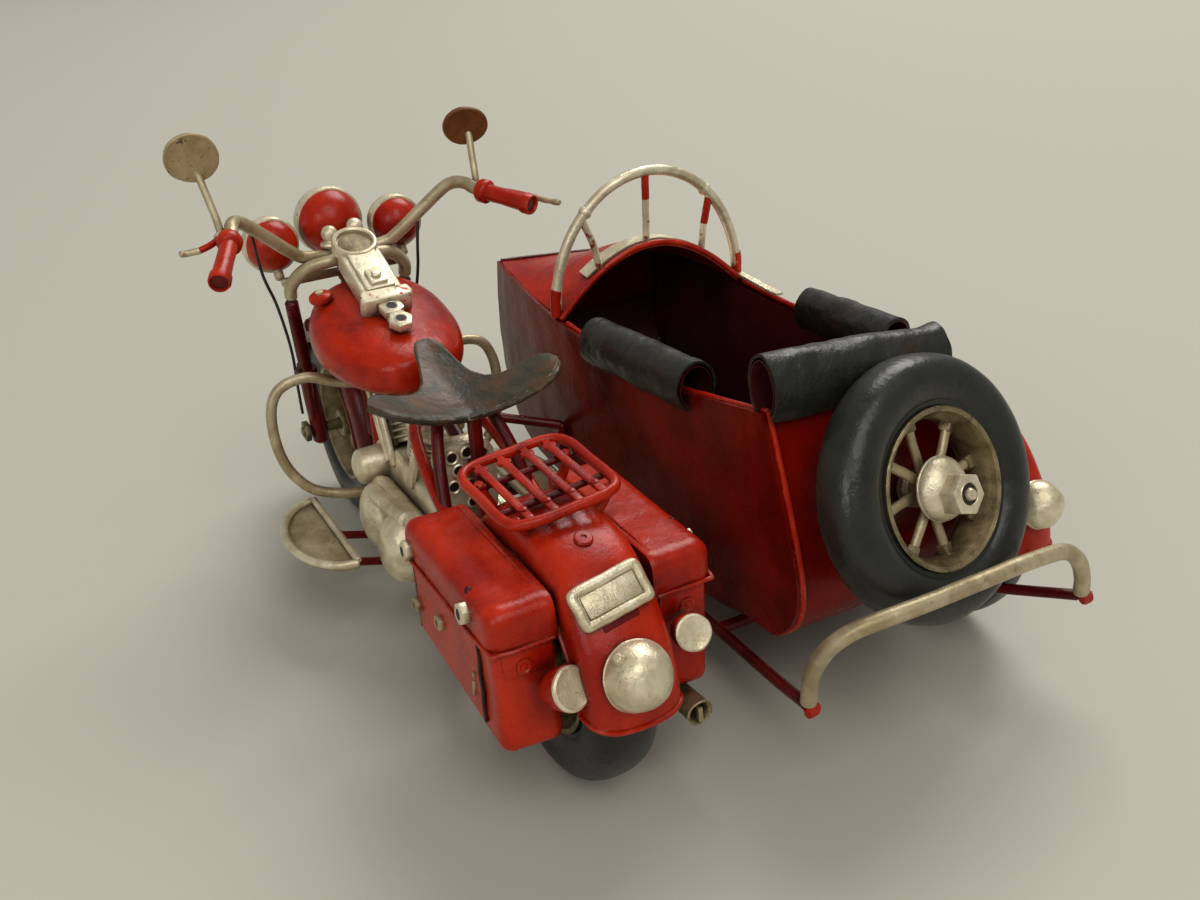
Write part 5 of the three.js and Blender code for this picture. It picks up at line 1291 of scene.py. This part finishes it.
hoop.add(tube([on_hoop(math.pi * k / 16) for k in range(17)], 1.25, 18), SILVER, 0.08, 0.2)
for side in (1, -1):
    y = HULL_Y + side * HOOP_HALF
    red_top = 65.5 if side > 0 else 65.0
    hoop.add(tube([(X_HOOP, y, FOOT_Z - 1.0), (X_HOOP, y, 62.5), (X_HOOP, y - side * 0.3, red_top)], 1.36,
                  16), RED, 0.08, 0.4)
    joint = on_hoop(math.radians(50 if side > 0 else 130))
    hoop.add(turned([(0, -0.8), (1.35, -0.8), (1.6, -0.3), (1.6, 0.3), (1.35, 0.8), (0, 0.8)], (0, -side, 1),
                    joint, 18), SILVER)
for upper, lower, red_from in ((17.4, 13.0, 1.0), (0, 0, 0.62), (-17.6, -15.4, 0.5)):
    low = cowl_point(X_HOOP + 0.6, lower / HOOP_HALF, -0.8)
    high = Vector((X_HOOP, HULL_Y + upper, FOOT_Z + HOOP_H * math.sqrt(1 - (upper / HOOP_HALF) ** 2)))
    bend = (low + high) / 2 + Vector((0, 0.16 * (lower - upper), 0))
    hoop.add(tube([low, bend, high], 0.85, 12), FLECKED, 0.08, 0.3)
    if red_from < 1:
        start = bend.lerp(high, 2 * red_from - 1)
        hoop.add(tube([start, start.lerp(high, 0.5), high], 0.92, 12), RED, 0.08, 0.3)
trim = [[cowl_point(X_HOOP + w, 0.66 - 1.66 * k / 40,
                    0.45 + 0.15 * w) for w in (0, 1.4, 2.8, 4.2)] for k in range(41)]
hoop.add(sheet(trim, -0.5), SILVER, 0.15, 0.25)
rail = []
for k in range(13):
    x = lerp(76.4, 58, k / 12)
    rail.append([(x, HULL_Y - along(RIGHT_HALF, x) + w, along(SIDE_TOP, x) + 0.55) for w in (-0.9, 0, 0.9)])
hoop.add(sheet(rail, 0.6), SILVER, 0.15, 0.25)
hoop.done("windscreen_hoop")

# ---------------------------------------------------------------- rolled pads and seat


ROLL_LONG, ROLL_ROUND = 48, 44


def rolled(ends, across, up, radius_w, radius_h, start, end, thickness, ripple=0.3):
    """An open roll of sheet wrapped round a straight line, from one angle round to another."""
    grid = []
    for i in range(ROLL_LONG + 1):
        t = i / ROLL_LONG
        centre = ends[0].lerp(ends[1], t)
        row = []
        for k in range(ROLL_ROUND + 1):
            angle = math.radians(lerp(start, end, k / ROLL_ROUND))
            wave = 1 + ripple * 0.12 * noise.noise(Vector((t * 6, angle * 1.1, ends[0].x * 0.1)))
            wide, tall = radius_w * wave * math.cos(angle), radius_h * wave * math.sin(angle)
            row.append(centre + across * wide + up * tall)
        ragged = 0.9 * ripple * noise.noise(Vector((t * 11, 3.7, ends[0].y)))
        row[0] += up * ragged
        row[-1] += up * ragged * 0.6
        grid.append(row)
    return sheet(grid, thickness)


for word, side, rear_x, front_x in (("left", 1, 15.5, 57), ("right", -1, 10, 45.5)):
    ends = [Vector((x, HULL_Y + side * (hull_edge(side, x)[0] - 0.6),
                    along(SIDE_TOP, x) + 1.0)) for x in (rear_x, front_x)]
    pad = Piece()
    outward = Vector((0, side, 0))
    pad.add(rolled(ends, outward, UP, 4.1, 5.0, -62, 242, 0.55), HIDE, 0.35, 0.12)
    # The inner layer, in the near-black crimson, is the red inside of the roll: painted shade.
    pad.add(rolled(ends, outward, UP, 3.5, 4.4, -60, 240, 0.22, ripple=0.2), SHADED_INSIDE, 0.1)
    pad.done("arm_pad_" + word)

pad = Piece()
ends = [Vector((-8.3, HULL_Y + 26.0, 71.0)), Vector((-8.0, HULL_Y - 14.6, 67.9))]
back_across, back_up = Vector((1, 0, -0.05)), Vector((0.1, 0, 1)).normalized()
pad.add(rolled(ends, back_across, back_up, 4.0, 5.9, -58, 238, 0.6), HIDE, 0.5, 0.1)
# The inner layer, in the near-black crimson, is the red inside of the roll: painted shade.
pad.add(rolled(ends, back_across, back_up, 3.4, 5.25, -57, 237, 0.22, ripple=0.2), SHADED_INSIDE, 0.1)
pad.done("backrest")

SEAT_LOW, SEAT_HIGH = Vector((-3, HULL_Y - 16.6, 30.4)), Vector((32.6, HULL_Y + 20.0, 37.6))


def crowned(p):
    """Pads swell in the middle of their top and draw in between the corners."""
    u = (p.x - SEAT_LOW.x) / (SEAT_HIGH.x - SEAT_LOW.x) * 2 - 1
    v = (p.y - SEAT_LOW.y) / (SEAT_HIGH.y - SEAT_LOW.y) * 2 - 1
    w = (p.z - SEAT_LOW.z) / (SEAT_HIGH.z - SEAT_LOW.z)
    swell = max(0, 1 - u * u) * max(0, 1 - v * v)
    channel = 0.5 * sum(math.exp(-((p.y - HULL_Y - c) / 0.9) ** 2) for c in (-11, 0, 11))
    return (p.x - 0.5 * u * (1 - v * v), p.y - 0.6 * v * (1 - u * u), p.z + w * (1.5 * swell - channel))


cushion = Piece().add(moved(pillow(SEAT_LOW, SEAT_HIGH, 2.6, 1.0), crowned), HIDE, 0.25,
                      0.12).done("sidecar_seat")

# ---------------------------------------------------------------- sidecar chassis

chassis = Piece()
LEFT_Y, RIGHT_Y, LOW_Z = -36.4, -84.6, 12.6
RAIL, CROSS, STAY = (1.25, 14, 0.85), (1.35, 14, 1.0), (1.15, 12, 1.0)
STRUTS = [
    (RAIL, [(86, LEFT_Y, LOW_Z), (40, LEFT_Y, LOW_Z), (-10, LEFT_Y, LOW_Z), (-29.8, -33.3, 17.2)]),
    (RAIL, [(84, RIGHT_Y, LOW_Z), (40, RIGHT_Y, LOW_Z), (2, RIGHT_Y, LOW_Z), (-13, -88.0, 15),
            (-33.6, -96.6, 20.6)]),
    (CROSS, [(84, -8.1, LOW_Z), (84, RIGHT_Y, LOW_Z)]),
    (CROSS, [(36, -8.6, LOW_Z - 0.6), (36, RIGHT_Y, LOW_Z - 0.6)]),
    (STAY, [(74, LEFT_Y, LOW_Z), (74, LEFT_Y, 32.5)]),
    (STAY, [(74, LEFT_Y, 32), (89, -7.6, 38.4)]),
    (CROSS, [(5, LEFT_Y, LOW_Z), (5, -86.8, LOW_Z)]),
]
for (radius, sides, squash), line in STRUTS:
    chassis.add(tube(line, radius, sides, flat=squash), CRIMSON)
chassis.add(block((2.3, -87.6, 10.8), (7.7, -86.7, 28.2), 0.35), CRIMSON)
chassis.add(tube([(5, -86.8, WHEEL_R), (5, -101.0, WHEEL_R)], 1.4, 18), BRASS, 0.02)
chassis.nut(4.6, 1.6, (5, -98.9, WHEEL_R), (0, -1, 0), 0, BRASS)
for at in ((-30.6, -33.2, 17.2), (-34.3, -96.9, 20.6)):
    chassis.add(turned([(0, 0), (1.5, 0.1), (1.7, 0.7), (1.3, 1.3), (0, 1.4)], (-1, 0, 0), at, 14), RED, 0.35,
                0.7)
chassis.done("sidecar_chassis")

bumper = Piece()
route = [(-30.2, -32.9, 18.2), (-32.5, -31.8, 26.4), (-35.5, -31.8, 32.5), (-38, -33.1, 36.6),
         (-39.5, -36.6, 38.7),
         (-40.4, -43.6, 39.4), (-40.7, -51.3, 39.6), (-40.7, -61.5, 39.8), (-40.2, -70.5, 39.5),
         (-39, -80.5, 38.2),
         (-38, -86.3, 36.2), (-36.5, -91.3, 31.9), (-35, -94.8, 26.4), (-34, -96.4, 21.4)]
bumper.add(tube(route, 1.6, 20), TUBE_SILVER, 0.08, 0.15)
bumper.done("rear_bumper")

# ---------------------------------------------------------------- floor, light, camera


def to_row(p):
    return Vector(p) * MM + ORIGIN


floor_mesh = bpy.data.meshes.new("floor")
FLOOR_REACH = 4.0
floor_corners = [(FLOOR_REACH * u, FLOOR_REACH * v, 0) for u, v in ((-1, -1), (1, -1), (1, 1), (-1, 1))]
floor_mesh.from_pydata(floor_corners, [], [(0, 1, 2, 3)])
floor = bpy.data.objects.new("floor", floor_mesh)
bpy.context.scene.collection.objects.link(floor)
paper = bpy.data.materials.new("pale_paper")
paper.use_nodes = True
paper_shader = paper.node_tree.nodes["Principled BSDF"]
paper_shader.inputs["Base Color"].default_value = (0.51, 0.495, 0.42, 1)
paper_shader.inputs["Roughness"].default_value = 0.75
floor_mesh.materials.append(paper)

world = bpy.data.worlds.new("studio")
world.use_nodes = True
world.node_tree.nodes["Background"].inputs["Color"].default_value = (1.0, 0.985, 0.95, 1)
world.node_tree.nodes["Background"].inputs["Strength"].default_value = 0.27
bpy.context.scene.world = world


def soft_light(name, at, aim_at, size, power, colour=(1, 0.98, 0.94)):
    data = bpy.data.lights.new(name, "AREA")
    data.shape = "RECTANGLE"
    data.size, data.size_y = size
    data.energy = power
    data.color = colour
    lamp_object = bpy.data.objects.new(name, data)
    lamp_object.location = at
    lamp_object.rotation_mode = "QUATERNION"
    lamp_object.rotation_quaternion = (Vector(aim_at) - Vector(at)).to_track_quat("-Z", "Y")
    bpy.context.scene.collection.objects.link(lamp_object)


soft_light("key", (1.1, -1.3, 2.1), (0.35, -0.1, 0), (1.5, 1.5), 44.0)
soft_light("front", (-1.2, 0.1, 1.5), (0, 0, 0.05), (1.2, 1.2), 12.5)
soft_light("fill", (-1.1, 1.5, 1.0), (0, 0, 0), (0.7, 0.7), 6.0)

YAW, PITCH, ROLL = math.radians(-26.8), math.radians(-26.54), math.radians(-3.39)
EYE = Vector((-178.8, 81.3, 163.8))
view = Vector((math.cos(YAW) * math.cos(PITCH), math.sin(YAW) * math.cos(PITCH), math.sin(PITCH)))
level = Vector((math.sin(YAW), -math.cos(YAW), 0))
upward = level.cross(view)
right = level * math.cos(ROLL) + upward * math.sin(ROLL)
above = upward * math.cos(ROLL) - level * math.sin(ROLL)
camera_data = bpy.data.cameras.new("camera")
camera_data.sensor_width = 36
camera_data.lens = 38.06
camera_data.clip_start, camera_data.clip_end = 0.005, 20
camera = bpy.data.objects.new("camera", camera_data)
pose = camera.matrix_world.to_3x3()
pose.col[0], pose.col[1], pose.col[2] = right, above, -view
camera.rotation_mode = "QUATERNION"
camera.rotation_quaternion = pose.to_quaternion()
camera.location = to_row(EYE)
bpy.context.scene.collection.objects.link(camera)
bpy.context.scene.camera = camera
bpy.context.scene.view_settings.view_transform = "Standard"
bpy.context.scene.view_settings.look = "None"
